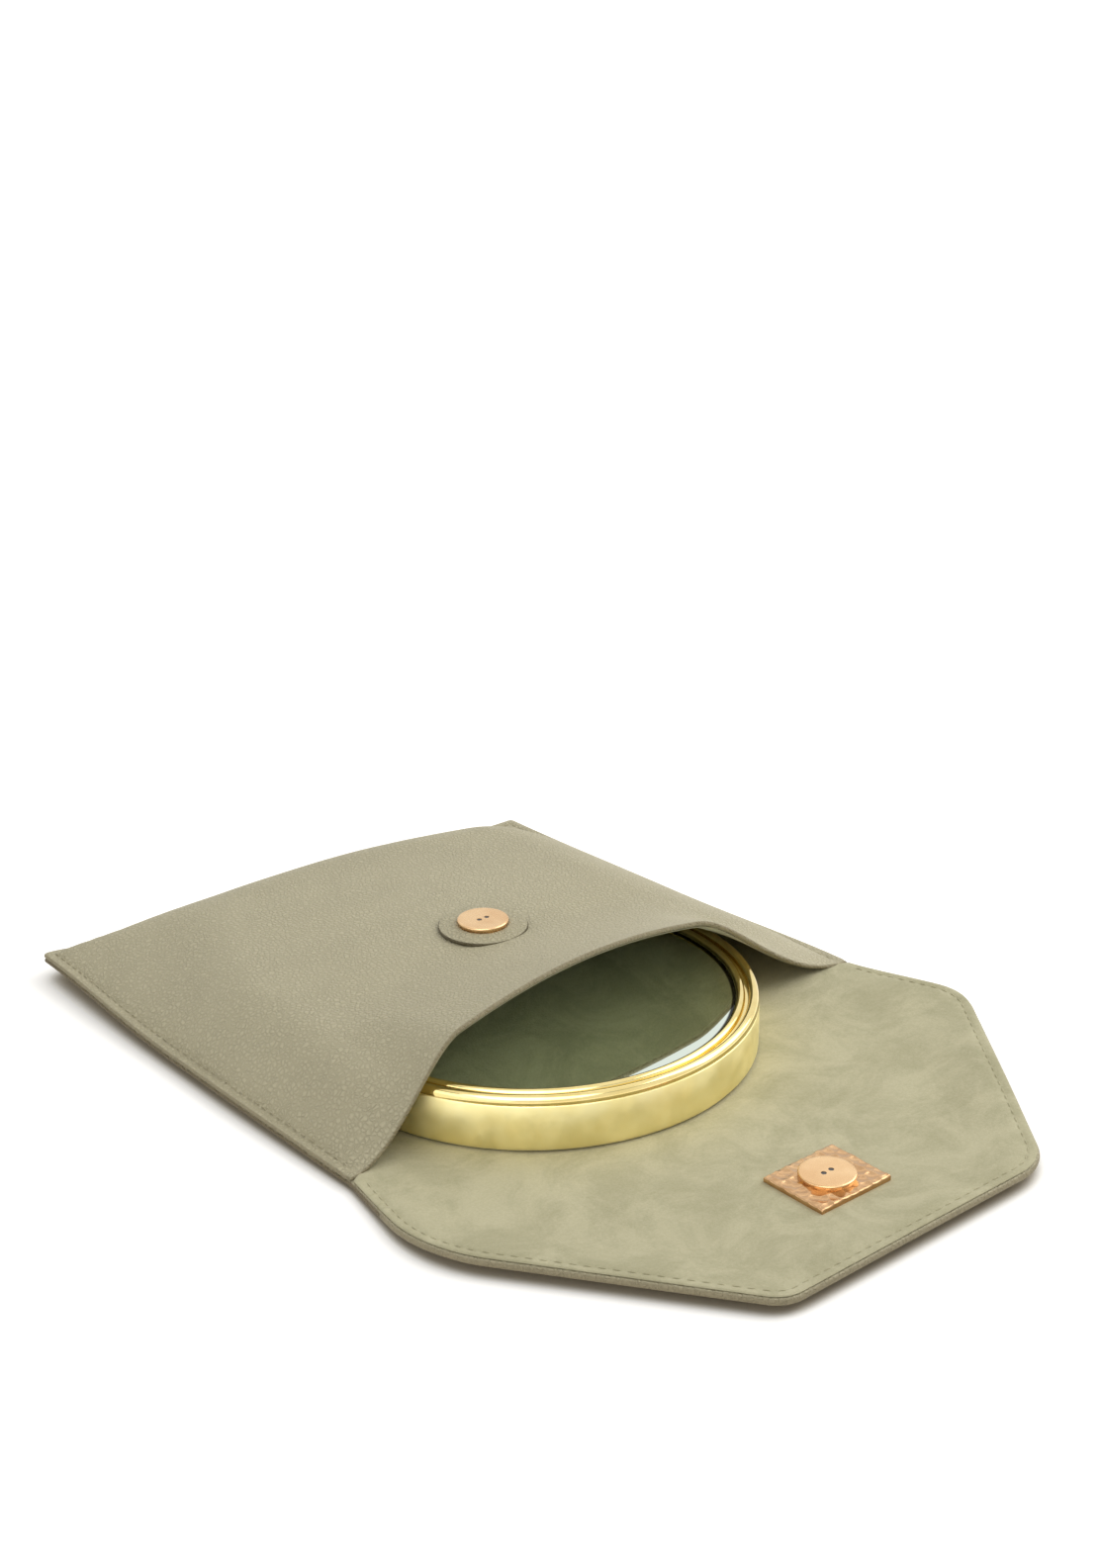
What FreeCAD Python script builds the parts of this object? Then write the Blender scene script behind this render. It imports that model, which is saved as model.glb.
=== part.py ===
"""Round hand mirror in a leather envelope pouch with a folding flap and a magnetic snap.

The pouch lies on its back. X runs across its width, Y from the flap's tip to the closed end, Z up.
The origin is the middle of the footprint, on the surface that the pouch lies on. All sizes are in mm.
"""
import FreeCAD
import Part
import Sketcher
import math
import operator
import os

DRIVING_SIZES = [
    # Outline of the pouch and of its open flap
    ("pouch_width", 168.0, "width across the side seams"),
    ("pouch_length", 148.0, "mouth line to closed end"),
    ("flap_length", 103.0, "mouth line to flap tip"),
    ("flap_width", 184.0, "flap width at its widest corners, before rounding"),
    ("flare_length", 36.0, "mouth line to the widest corners"),
    ("tip_width", 86.0, "flap tip width, before rounding"),
    ("corner_round", 16.0, "rounding of the widest corners"),
    ("tip_round", 9.5, "rounding of the tip corners"),
    ("fold_margin", 4.0, "flap panel's start beyond the mirror's edge"),
    ("body_gap", 0.3, "gap between sheets that move apart"),
    # Layers of the back, the fold and the flap
    ("leather", 1.2, "outer leather"),
    ("board", 0.65, "board or wadding between leather and lining"),
    ("lining", 0.55, "suede lining"),
    ("layer_gap", 0.05, "glue line between layers"),
    ("lining_inset", 0.6, "lining edge inside the leather edge"),
    ("board_inset", 5.0, "board edge inside the leather edge"),
    # Layers and drape of the front panel
    ("front_leather", 1.15, "front outer leather"),
    ("front_board", 0.65, "front board"),
    ("front_lining", 0.5, "front suede lining"),
    ("front_inset", 10.0, "front board and lining edge inside the leather edge"),
    ("cover_clearance", 1.5, "front lining above the mirror"),
    ("crown_drop", 1.0, "fall of the front panel from its middle to its sides"),
    ("mouth_rise", 9.2, "extra height of the gaping mouth"),
    ("mouth_margin", 2.0, "end of that extra height before the snap's washer"),
    ("mouth_scoop", 13.0, "depth of the curved mouth edge"),
    ("mouth_blend", 22.0, "length over which the mouth widens to the mirror"),
    ("left_mouth_shoulder", 46.0, "centre to left shoulder at the mouth"),
    ("right_mouth_shoulder", 34.0, "centre to right shoulder at the mouth"),
    ("left_shoulder_inset", 0.7, "left shoulder inside the mirror's edge"),
    ("right_shoulder_inset", 2.1, "right shoulder inside the mirror's edge"),
    ("side_flange", 2.0, "flat leather at the side seams"),
    ("end_flange", 3.0, "flat leather at the closed end"),
    ("end_shoulder_inset", 2.0, "end shoulder inside the edge of the mirror when it is inside"),
    ("end_round_left", 150.0, "bend of the end shoulder on the left"),
    ("end_round_right", 45.0, "bend of the end shoulder on the right"),
    # Mirror
    ("mirror_radius", 58.5, "outer radius of the ring"),
    ("mirror_x", -6.4, "mirror centre from the pouch's middle"),
    ("mirror_y", 26.5, "mirror centre from the mouth line"),
    ("end_clearance", 22.0, "closed end to the edge of the mirror when it is inside"),
    ("mirror_clearance", 0.3, "mirror above the lining"),
    ("rim_wall", 1.3, "wall of the ring"),
    ("rim_height", 12.5, "bottom of the base to the top of the ring's wall"),
    ("base_flange", 0.5, "part of the base that stands below the ring"),
    ("base_recess", 0.6, "base edge inside the ring's outer face"),
    ("base_plug", 0.7, "part of the base inside the ring"),
    ("fit_gap", 0.1, "clearance of the pieces inside the ring"),
    ("bead_height", 2.1, "outer bead above the ring's wall"),
    ("outer_bead", 3.0, "width of the outer bead"),
    ("bead_groove", 0.7, "width of the groove between the beads"),
    ("groove_depth", 1.2, "depth of that groove"),
    ("inner_bead", 2.6, "width of the inner bead"),
    ("inner_bead_drop", 0.3, "inner bead below the outer bead"),
    ("bead_round", 0.85, "rounding of both beads"),
    ("glass", 3.0, "mirror glass"),
    ("mirror_pad", 1.0, "foam pad behind the glass"),
    # Magnetic snap
    ("front_snap_y", 56.0, "mouth line to the snap on the front panel"),
    ("flap_snap_y", 73.0, "mouth line to the snap on the flap"),
    ("washer_radius", 12.25, "leather washer under the front snap"),
    ("washer_thick", 1.2, "thickness of that washer"),
    ("plate_length", 23.0, "flap plate along X"),
    ("plate_depth", 19.0, "flap plate along Y"),
    ("plate_thick", 1.0, "flap plate"),
    ("cap_radius", 7.0, "snap cap"),
    ("cap_height", 2.0, "height of the snap cap"),
    ("cap_wall", 0.4, "sheet metal of the snap cap"),
    ("cap_round", 0.35, "rounded edge of the snap cap"),
    ("mark_radius", 0.45, "two small holes in the face of the cap"),
    ("mark_spacing", 2.6, "distance between those holes"),
    ("prong_width", 3.0, "width of a prong"),
    ("prong_thick", 0.4, "sheet metal of the prongs"),
    ("prong_spacing", 7.0, "distance between the prongs"),
    ("prong_foot", 0.25, "thickness of the bent ends of the prongs"),
    ("foot_length", 2.2, "length of those ends"),
    ("slot_gap", 0.15, "clearance of a prong in its slot"),
    ("backplate_radius", 6.6, "washer that the prongs are bent over"),
    ("backplate_thick", 0.3, "thickness of that washer"),
    ("pocket_gap", 0.4, "clearance of that washer in the board"),
    ("snap_gap", 0.3, "gap between the closed snap's faces"),
]

PANEL_COLUMNS = 43
PANEL_ROWS = 38
DEGREE = 3
SAME_PLACE = 1e-4
UP = FreeCAD.Vector(0, 0, 1)
SIGNS = {"+": operator.add, "-": operator.sub, "*": operator.mul, "/": operator.truediv}


class Size:
    """A size that keeps its value and the sheet expression that gives it."""

    def __init__(self, value, text):
        self.value = value
        self.text = text

    def join(self, sign, other):
        if not isinstance(other, Size):
            other = Size(other, repr(other))
        return Size(SIGNS[sign](self.value, other.value), f"({self.text} {sign} {other.text})")

    def __add__(self, other):
        return self.join("+", other)

    def __sub__(self, other):
        return self.join("-", other)

    def __mul__(self, other):
        return self.join("*", other)

    def __truediv__(self, other):
        return self.join("/", other)

    def __neg__(self):
        return self.join("*", -1)


doc = FreeCAD.newDocument("mirror_in_pouch")
ZERO = Size(0.0, "0")
nodes = {}


def fill_sheet():
    """Put every driving size into the sheet and return them by name."""
    sheet = doc.addObject("Spreadsheet::Sheet", "sizes")
    found = {}
    for row, (alias, value, note) in enumerate(DRIVING_SIZES, start=1):
        sheet.set(f"A{row}", note)
        sheet.set(f"B{row}", repr(value))
        sheet.setAlias(f"B{row}", alias)
        found[alias] = Size(value, f"sizes.{alias}")
    doc.recompute()
    return found


D = fill_sheet()


def bind(obj, prop, size):
    """Drive one property of an object from the sheet."""
    obj.setExpression(prop, size.text)


def place(obj, x, y, z):
    """Drive an object's position from the sheet."""
    for axis, size in (("x", x), ("y", y), ("z", z)):
        bind(obj, f"Placement.Base.{axis}", size)


def keep(name, obj):
    """Name an object as a sub-part of the finished model."""
    obj.Label = name
    nodes[name] = obj
    return obj


# Places that several sub-parts share, all measured from the row's origin
MOUTH_Y = (D["flap_length"] - D["pouch_length"]) / 2
BOARD_Z = D["leather"] + D["layer_gap"]
LINING_Z = BOARD_Z + D["board"] + D["layer_gap"]
BACK_TOP = LINING_Z + D["lining"]
SHEET_MIDDLE = BACK_TOP / 2
FLANGE_TOP = BACK_TOP + D["layer_gap"] + D["front_leather"]
FRONT_SNAP_Y = MOUTH_Y + D["front_snap_y"]
FLAP_SNAP_Y = MOUTH_Y - D["flap_snap_y"]
MIRROR_X = D["mirror_x"]
MIRROR_Y = MOUTH_Y + D["mirror_y"]
MIRROR_Z = BACK_TOP + D["mirror_clearance"]
MIRROR_TOP = MIRROR_Z + D["rim_height"] + D["bead_height"]
MIRROR_TRAVEL = D["pouch_length"] - D["end_clearance"] - D["mirror_radius"] - D["mirror_y"]
FOLD_LENGTH = D["mirror_radius"] - D["mirror_y"] + D["fold_margin"]
BOARD_DEPTH = D["front_leather"] + D["layer_gap"]
LINING_DEPTH = BOARD_DEPTH + D["front_board"] + D["layer_gap"]
FRONT_HEIGHT = MIRROR_TOP + D["cover_clearance"] + D["front_lining"] + LINING_DEPTH
MOUTH_REACH = D["front_snap_y"] - D["washer_radius"] - D["mouth_margin"]
LEFT_SHOULDER = D["mirror_radius"] - D["mirror_x"] - D["left_shoulder_inset"]
RIGHT_SHOULDER = D["mirror_radius"] + D["mirror_x"] - D["right_shoulder_inset"]
END_SHOULDER = D["pouch_length"] - D["end_clearance"] - D["end_shoulder_inset"]
WASHER_Z = FRONT_HEIGHT + D["layer_gap"]
FRONT_CAP_Z = WASHER_Z + D["washer_thick"]
PLATE_Z = BACK_TOP + D["layer_gap"]
FLAP_CAP_Z = PLATE_Z + D["plate_thick"]


def new_body(name):
    return doc.addObject("PartDesign::Body", name)


def origin_plane(body, role):
    return next(feature for feature in body.Origin.OriginFeatures if feature.Role == role)


def polygon_sketch(body, name, role, points):
    """A closed polygon on one of the body's origin planes, with every corner driven from the sheet."""
    sketch = body.newObject("Sketcher::SketchObject", name)
    sketch.AttachmentSupport = [(origin_plane(body, role), "")]
    sketch.MapMode = "FlatFace"
    count = len(points)
    corners = [FreeCAD.Vector(x.value, y.value, 0) for x, y in points]
    for i in range(count):
        sketch.addGeometry(Part.LineSegment(corners[i], corners[(i + 1) % count]), False)
    for i in range(count):
        sketch.addConstraint(Sketcher.Constraint("Coincident", i, 2, (i + 1) % count, 1))
    for i, (x, y) in enumerate(points):
        for kind, size in (("DistanceX", x), ("DistanceY", y)):
            index = sketch.addConstraint(Sketcher.Constraint(kind, -1, 1, i, 1, size.value))
            sketch.setExpression(f"Constraints[{index}]", size.text)
    return sketch


def pad(body, name, points, thickness):
    """A flat plate: a polygon in plan, raised by its thickness."""
    feature = body.newObject("PartDesign::Pad", f"{name}_pad")
    feature.Profile = polygon_sketch(body, f"{name}_outline", "XY_Plane", points)
    bind(feature, "Length", thickness)
    doc.recompute()
    return feature


def pocket(body, name, points, role="XY_Plane"):
    """Cut a polygon right through the body, on both sides of its plane."""
    feature = body.newObject("PartDesign::Pocket", f"{name}_pocket")
    feature.Profile = polygon_sketch(body, f"{name}_cut", role, points)
    feature.Type = "ThroughAll"
    feature.Midplane = True
    doc.recompute()
    return feature


def revolve(name, points):
    """A turned body: a polygon in the XZ plane, turned about Z."""
    body = new_body(name)
    feature = body.newObject("PartDesign::Revolution", f"{name}_turned")
    feature.Profile = polygon_sketch(body, f"{name}_profile", "XZ_Plane", points)
    feature.ReferenceAxis = (feature.Profile[0], ["V_Axis"])
    feature.Angle = 360.0
    doc.recompute()
    return body


def round_edges(body, name, edges, radius):
    """Round the named edges of the body's last feature."""
    base = body.Tip
    feature = body.newObject("PartDesign::Fillet", f"{name}_round")
    feature.Base = (base, edges)
    bind(feature, "Radius", radius)
    doc.recompute()


def upright_edges_near(shape, x, y):
    """Names of the vertical edges that stand at a point of the plan, and at its mirror image."""
    found = []
    for i, edge in enumerate(shape.Edges, start=1):
        ends = [vertex.Point for vertex in edge.Vertexes]
        upright = len(ends) == 2 and abs(ends[0].z - ends[1].z) > SAME_PLACE
        if upright and all(abs(abs(p.x) - x) < SAME_PLACE and abs(p.y - y) < SAME_PLACE for p in ends):
            found.append(f"Edge{i}")
    return found


def circle_edges(shape, radius, z):
    """Names of the circular edges with this radius at this height."""
    found = []
    for i, edge in enumerate(shape.Edges, start=1):
        curve = edge.Curve
        if not isinstance(curve, Part.Circle):
            continue
        if abs(curve.Radius - radius) < SAME_PLACE and abs(curve.Center.z - z) < SAME_PLACE:
            found.append(f"Edge{i}")
    return found


def rectangle(x0, y0, x1, y1):
    return [(x0, y0), (x1, y0), (x1, y1), (x0, y1)]


# Flat sheets of the back, the fold and the flap


def flap_outline(inset):
    """The open flap seen from above, from the mouth line to the tip, drawn in by an inset."""
    mouth = D["pouch_width"] / 2 - inset
    widest = D["flap_width"] / 2 - inset
    tip = D["tip_width"] / 2 - inset / 2
    flare = -D["flare_length"]
    end = inset - D["flap_length"]
    return [(-mouth, ZERO), (-widest, flare), (-tip, end), (tip, end), (widest, flare), (mouth, ZERO)]


def flap_sheet(name, inset, thickness, z, first, last):
    """The stretch of the flap's outline between two distances from the mouth line."""
    body = new_body(name)
    points = flap_outline(inset)
    pad(body, name, points, thickness)
    for label, corner, radius in (("widest", 1, D["corner_round"]), ("tip", 2, D["tip_round"])):
        x, y = points[corner]
        edges = upright_edges_near(body.Shape, abs(x.value), y.value)
        round_edges(body, f"{name}_{label}", edges, radius)
    reach = D["flap_width"]
    pocket(body, f"{name}_start", rectangle(-reach, -first, reach, D["pouch_length"]))
    if last is not None:
        pocket(body, f"{name}_end", rectangle(-reach, -(D["flap_length"] * 2), reach, -last))
    place(body, ZERO, MOUTH_Y, z)
    return body


def back_sheet(name, inset, thickness, z):
    """A sheet of the pouch's back, from the mouth line to the closed end."""
    body = new_body(name)
    half = D["pouch_width"] / 2 - inset
    pad(body, name, rectangle(-half, ZERO, half, D["pouch_length"] - inset), thickness)
    place(body, ZERO, MOUTH_Y, z)
    return body


def sheet_layers():
    """Name, inset, thickness and height of the three layers of a flat sheet."""
    return [
        ("leather", ZERO, D["leather"], ZERO),
        ("board", D["board_inset"], D["board"], BOARD_Z),
        ("lining", D["lining_inset"], D["lining"], LINING_Z),
    ]


def make_back():
    for layer, inset, thickness, z in sheet_layers():
        keep(f"back_{layer}", back_sheet(f"back_{layer}", inset, thickness, z))


def make_fold():
    first = D["body_gap"]
    last = FOLD_LENGTH - D["body_gap"] / 2
    for layer, inset, thickness, z in sheet_layers():
        name = "fold_wadding" if layer == "board" else f"fold_{layer}"
        keep(name, flap_sheet(name, inset, thickness, z, first, last))


def make_flap():
    first = FOLD_LENGTH + D["body_gap"] / 2
    snap_y = -D["flap_snap_y"]
    for layer, inset, thickness, z in sheet_layers():
        name = f"flap_{layer}"
        body = keep(name, flap_sheet(name, inset, thickness, z, first, None))
        if layer == "board":
            circle_pocket(body, name, ZERO, snap_y, D["backplate_radius"] + D["pocket_gap"])
        if layer == "lining":
            cut_prong_slots(body, name, snap_y)


# Magnetic snap


def cut_prong_slots(body, name, y):
    """Two slots that the prongs of a snap pass through."""
    half = D["prong_width"] / 2 + D["slot_gap"]
    inner = D["prong_spacing"] / 2 - D["prong_thick"] - D["slot_gap"]
    outer = D["prong_spacing"] / 2 + D["slot_gap"]
    pocket(body, f"{name}_slot_left", rectangle(-outer, y - half, -inner, y + half))
    pocket(body, f"{name}_slot_right", rectangle(inner, y - half, outer, y + half))


def circle_pocket(body, name, x, y, radius):
    """Cut a round hole right through the body."""
    sketch = body.newObject("Sketcher::SketchObject", f"{name}_circle")
    sketch.AttachmentSupport = [(origin_plane(body, "XY_Plane"), "")]
    sketch.MapMode = "FlatFace"
    centre = FreeCAD.Vector(x.value, y.value, 0)
    sketch.addGeometry(Part.Circle(centre, UP, radius.value), False)
    rules = (("DistanceX", x), ("DistanceY", y))
    for kind, size in rules:
        index = sketch.addConstraint(Sketcher.Constraint(kind, -1, 1, 0, 3, size.value))
        sketch.setExpression(f"Constraints[{index}]", size.text)
    index = sketch.addConstraint(Sketcher.Constraint("Radius", 0, radius.value))
    sketch.setExpression(f"Constraints[{index}]", radius.text)
    feature = body.newObject("PartDesign::Pocket", f"{name}_hole")
    feature.Profile = sketch
    feature.Type = "ThroughAll"
    feature.Midplane = True
    doc.recompute()
    return feature


def snap_cap(name, y, z):
    """A shallow sheet-metal cup, open downwards, with two small holes in its face."""
    outer = D["cap_radius"]
    inner = outer - D["cap_wall"]
    top = D["cap_height"]
    under = top - D["cap_wall"]
    profile = [(inner, ZERO), (outer, ZERO), (outer, top), (ZERO, top), (ZERO, under), (inner, under)]
    body = revolve(name, profile)
    round_edges(body, f"{name}_face", circle_edges(body.Shape, outer.value, top.value), D["cap_round"])
    for side, x in (("left", -D["mark_spacing"] / 2), ("right", D["mark_spacing"] / 2)):
        circle_pocket(body, f"{name}_{side}", x, ZERO, D["mark_radius"])
    place(body, ZERO, y, z)
    return body


def snap_magnet(name, y, z):
    """The disc magnet that the cap holds."""
    magnet = doc.addObject("Part::Cylinder", name)
    bind(magnet, "Radius", D["cap_radius"] - D["cap_wall"] - D["layer_gap"])
    bind(magnet, "Height", D["cap_height"] - D["cap_wall"] - D["prong_thick"] - D["layer_gap"] * 2)
    place(magnet, ZERO, y, z + D["prong_thick"] + D["layer_gap"])
    return magnet


def snap_prongs(name, y, z, depth):
    """A strap under the magnet with two legs that go down by a depth and turn outwards."""
    half = D["prong_spacing"] / 2
    inner = half - D["prong_thick"]
    strap = D["prong_thick"]
    low = -depth
    foot = low + D["prong_foot"]
    out = half + D["foot_length"]
    body = new_body(name)
    feature = body.newObject("PartDesign::Pad", f"{name}_pad")
    feature.Profile = polygon_sketch(
        body,
        f"{name}_profile",
        "XZ_Plane",
        [
            (-half, strap), (-half, foot), (-out, foot), (-out, low), (-inner, low), (-inner, ZERO),
            (inner, ZERO), (inner, low), (out, low), (out, foot), (half, foot), (half, strap),
        ],
    )
    feature.Midplane = True
    bind(feature, "Length", D["prong_width"])
    doc.recompute()
    place(body, ZERO, y, z)
    return body


def snap_backplate(name, y, z):
    """The slotted washer that the prongs are bent over."""
    body = revolve(
        name,
        rectangle(ZERO, ZERO, D["backplate_radius"], D["backplate_thick"]),
    )
    cut_prong_slots(body, name, ZERO)
    place(body, ZERO, y, z)
    return body


def make_flap_snap():
    """Plate, cap, magnet, prongs and backplate on the flap's lining."""
    plate = new_body("flap_plate")
    half_x = D["plate_length"] / 2
    half_y = D["plate_depth"] / 2
    pad(plate, "flap_plate", rectangle(-half_x, -half_y, half_x, half_y), D["plate_thick"])
    cut_prong_slots(plate, "flap_plate", ZERO)
    place(plate, ZERO, FLAP_SNAP_Y, PLATE_Z)
    keep("flap_plate", plate)
    keep("flap_snap_cap", snap_cap("flap_snap_cap", FLAP_SNAP_Y, FLAP_CAP_Z))
    keep("flap_snap_magnet", snap_magnet("flap_snap_magnet", FLAP_SNAP_Y, FLAP_CAP_Z))
    depth = FLAP_CAP_Z - LINING_Z + D["layer_gap"] + D["backplate_thick"] + D["prong_foot"]
    keep("flap_snap_prongs", snap_prongs("flap_snap_prongs", FLAP_SNAP_Y, FLAP_CAP_Z, depth))
    backplate_z = LINING_Z - D["layer_gap"] - D["backplate_thick"]
    keep("flap_snap_backplate", snap_backplate("flap_snap_backplate", FLAP_SNAP_Y, backplate_z))


def make_front_snap():
    """Leather washer, cap, magnet, prongs and backplate on the front panel."""
    washer = revolve("snap_washer", rectangle(ZERO, ZERO, D["washer_radius"], D["washer_thick"]))
    cut_prong_slots(washer, "snap_washer", ZERO)
    place(washer, ZERO, FRONT_SNAP_Y, WASHER_Z)
    keep("snap_washer", washer)
    keep("front_snap_cap", snap_cap("front_snap_cap", FRONT_SNAP_Y, FRONT_CAP_Z))
    keep("front_snap_magnet", snap_magnet("front_snap_magnet", FRONT_SNAP_Y, FRONT_CAP_Z))
    under = FRONT_HEIGHT - BOARD_DEPTH
    depth = FRONT_CAP_Z - under + D["layer_gap"] + D["backplate_thick"] + D["prong_foot"]
    keep("front_snap_prongs", snap_prongs("front_snap_prongs", FRONT_SNAP_Y, FRONT_CAP_Z, depth))
    backplate_z = under - D["layer_gap"] - D["backplate_thick"]
    keep("front_snap_backplate", snap_backplate("front_snap_backplate", FRONT_SNAP_Y, backplate_z))


# Draped front panel


def fall(t):
    """A smooth step from 1 at t = 0 to 0 at t = 1."""
    t = min(max(t, 0.0), 1.0)
    return 0.5 * (1.0 + math.cos(math.pi * t))


def mix(a, b, t):
    """A smooth change from a at t = 0 to b at t = 1."""
    return b + (a - b) * fall(t)


def mouth_edge(x):
    """Distance of the curved mouth edge from the mouth line."""
    across = 2.0 * x / D["pouch_width"].value
    return D["mouth_scoop"].value * (1.0 - across * across) ** 2


def front_height(x, y):
    """Height of the front leather's outer face over a point of the plan, y from the mouth line."""
    half = D["pouch_width"].value / 2
    if x < 0:
        mouth_shoulder, full_shoulder = D["left_mouth_shoulder"], LEFT_SHOULDER
    else:
        mouth_shoulder, full_shoulder = D["right_mouth_shoulder"], RIGHT_SHOULDER
    shoulder = mix(mouth_shoulder.value, full_shoulder.value, y / D["mouth_blend"].value)
    foot = half - D["side_flange"].value
    across = fall((abs(x) - shoulder) / (foot - shoulder))
    off_centre = x - D["mirror_x"].value
    bend = D["end_round_left" if off_centre < 0 else "end_round_right"].value
    end_shoulder = END_SHOULDER.value - off_centre * off_centre / (2.0 * bend)
    end_foot = D["pouch_length"].value - D["end_flange"].value
    along = fall((y - end_shoulder) / (end_foot - end_shoulder))
    lift = D["mouth_rise"].value * max(1.0 - y / MOUTH_REACH.value, 0.0) ** 2
    top = FRONT_HEIGHT.value + lift - D["crown_drop"].value * (x / half) ** 2
    flange = FLANGE_TOP.value
    return flange + (top - flange) * across * along


def pole_places(count):
    """Shares of the way along a clamped cubic surface at which its poles stand."""
    spans = count - DEGREE
    places = []
    for i in range(count):
        knots = [min(max(k, 0), spans) for k in range(i - DEGREE + 1, i + 1)]
        places.append(sum(knots) / (DEGREE * spans))
    return places


def end_multiplicities(count):
    """Knot multiplicities of a clamped cubic with this many poles."""
    inner = count - DEGREE - 1
    return [DEGREE + 1] + [1] * inner + [DEGREE + 1]


def front_surface():
    """The outer face of the front leather, from the mouth edge to the closed end, as one smooth surface."""
    width = D["pouch_width"].value
    length = D["pouch_length"].value
    poles = []
    for share_x in pole_places(PANEL_COLUMNS):
        x = width * (share_x - 0.5)
        start = mouth_edge(x)
        stations = [start + (length - start) * share_y for share_y in pole_places(PANEL_ROWS)]
        poles.append([FreeCAD.Vector(x, y, front_height(x, y)) for y in stations])
    column_knots = end_multiplicities(PANEL_COLUMNS)
    row_knots = end_multiplicities(PANEL_ROWS)
    surface = Part.BSplineSurface()
    surface.buildFromPolesMultsKnots(
        poles, column_knots, row_knots, list(range(len(column_knots))), list(range(len(row_knots))),
        False, False, DEGREE, DEGREE,
    )
    feature = doc.addObject("Part::Feature", "front_surface")
    feature.Shape = surface.toShape()
    place(feature, ZERO, MOUTH_Y, ZERO)
    return feature


def front_layer(name, surface, depth, thickness):
    """One layer of the front panel, a depth below its outer face."""
    layer = doc.addObject("Part::Extrusion", name)
    layer.Base = surface
    layer.DirMode = "Custom"
    layer.Dir = -UP
    layer.Solid = True
    bind(layer, "LengthFwd", thickness)
    place(layer, ZERO, ZERO, -depth)
    return layer


def boolean(kind, name, base, tool):
    result = doc.addObject(f"Part::{kind}", name)
    result.Base = base
    result.Tool = tool
    return result


def block(name, x0, y0, z0, x1, y1, z1):
    """A box between two corners, driven from the sheet."""
    box = doc.addObject("Part::Box", name)
    for prop, size in (("Length", x1 - x0), ("Width", y1 - y0), ("Height", z1 - z0)):
        bind(box, prop, size)
    place(box, x0, y0, z0)
    return box


def prong_slot_blocks(name):
    """Two upright blocks where the front snap's prongs pass."""
    half = D["prong_width"] / 2 + D["slot_gap"]
    inner = D["prong_spacing"] / 2 - D["prong_thick"] - D["slot_gap"]
    outer = D["prong_spacing"] / 2 + D["slot_gap"]
    low = FRONT_SNAP_Y - half
    high = FRONT_SNAP_Y + half
    left = block(f"{name}_left", -outer, low, ZERO, -inner, high, WASHER_Z * 2)
    right = block(f"{name}_right", inner, low, ZERO, outer, high, WASHER_Z * 2)
    return left, right


def make_front():
    """Leather, board and lining of the front panel."""
    surface = front_surface()
    leather = front_layer("front_leather_sheet", surface, ZERO, D["front_leather"])
    for i, slot in enumerate(prong_slot_blocks("front_slot"), start=1):
        leather = boolean("Cut", f"front_leather_{i}", leather, slot)
    keep("front_leather", leather)
    half = D["pouch_width"] / 2 - D["front_inset"]
    end = MOUTH_Y + D["pouch_length"] - D["front_inset"]
    lining_floor = BACK_TOP + D["layer_gap"]
    board_floor = lining_floor + D["front_lining"] + D["layer_gap"]
    layers = (
        ("board", BOARD_DEPTH, D["front_board"], board_floor),
        ("lining", LINING_DEPTH, D["front_lining"], lining_floor),
    )
    for layer, depth, thickness, floor in layers:
        sheet = front_layer(f"front_{layer}_sheet", surface, depth, thickness)
        window = block(f"front_{layer}_window", -half, MOUTH_Y, floor, half, end, FRONT_HEIGHT * 2)
        trimmed = boolean("Common", f"front_{layer}_trimmed", sheet, window)
        if layer == "board":
            hole = doc.addObject("Part::Cylinder", "front_backplate_hole")
            bind(hole, "Radius", D["backplate_radius"] + D["pocket_gap"])
            bind(hole, "Height", WASHER_Z * 2)
            place(hole, ZERO, FRONT_SNAP_Y, ZERO)
            trimmed = boolean("Cut", "front_board_cut", trimmed, hole)
        keep(f"front_{layer}", trimmed)


# Mirror


def place_mirror(body):
    place(body, MIRROR_X, MIRROR_Y, MIRROR_Z)
    return body


def make_bezel():
    """The two polished beads on top of the ring, over the edge of the glass."""
    outer = D["mirror_radius"]
    groove_out = outer - D["outer_bead"]
    groove_in = groove_out - D["bead_groove"]
    inner = groove_in - D["inner_bead"]
    low = D["rim_height"]
    high = low + D["bead_height"]
    inner_high = high - D["inner_bead_drop"]
    groove = high - D["groove_depth"]
    body = revolve(
        "mirror_bezel",
        [
            (inner, low), (outer, low), (outer, high), (groove_out, high), (groove_out, groove),
            (groove_in, groove), (groove_in, inner_high), (inner, inner_high),
        ],
    )
    shape = body.Shape
    edges = circle_edges(shape, outer.value, high.value) + circle_edges(shape, groove_out.value, high.value)
    edges += circle_edges(shape, groove_in.value, inner_high.value)
    edges += circle_edges(shape, inner.value, inner_high.value)
    round_edges(body, "mirror_bezel_beads", edges, D["bead_round"])
    keep("mirror_bezel", place_mirror(body))


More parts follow.
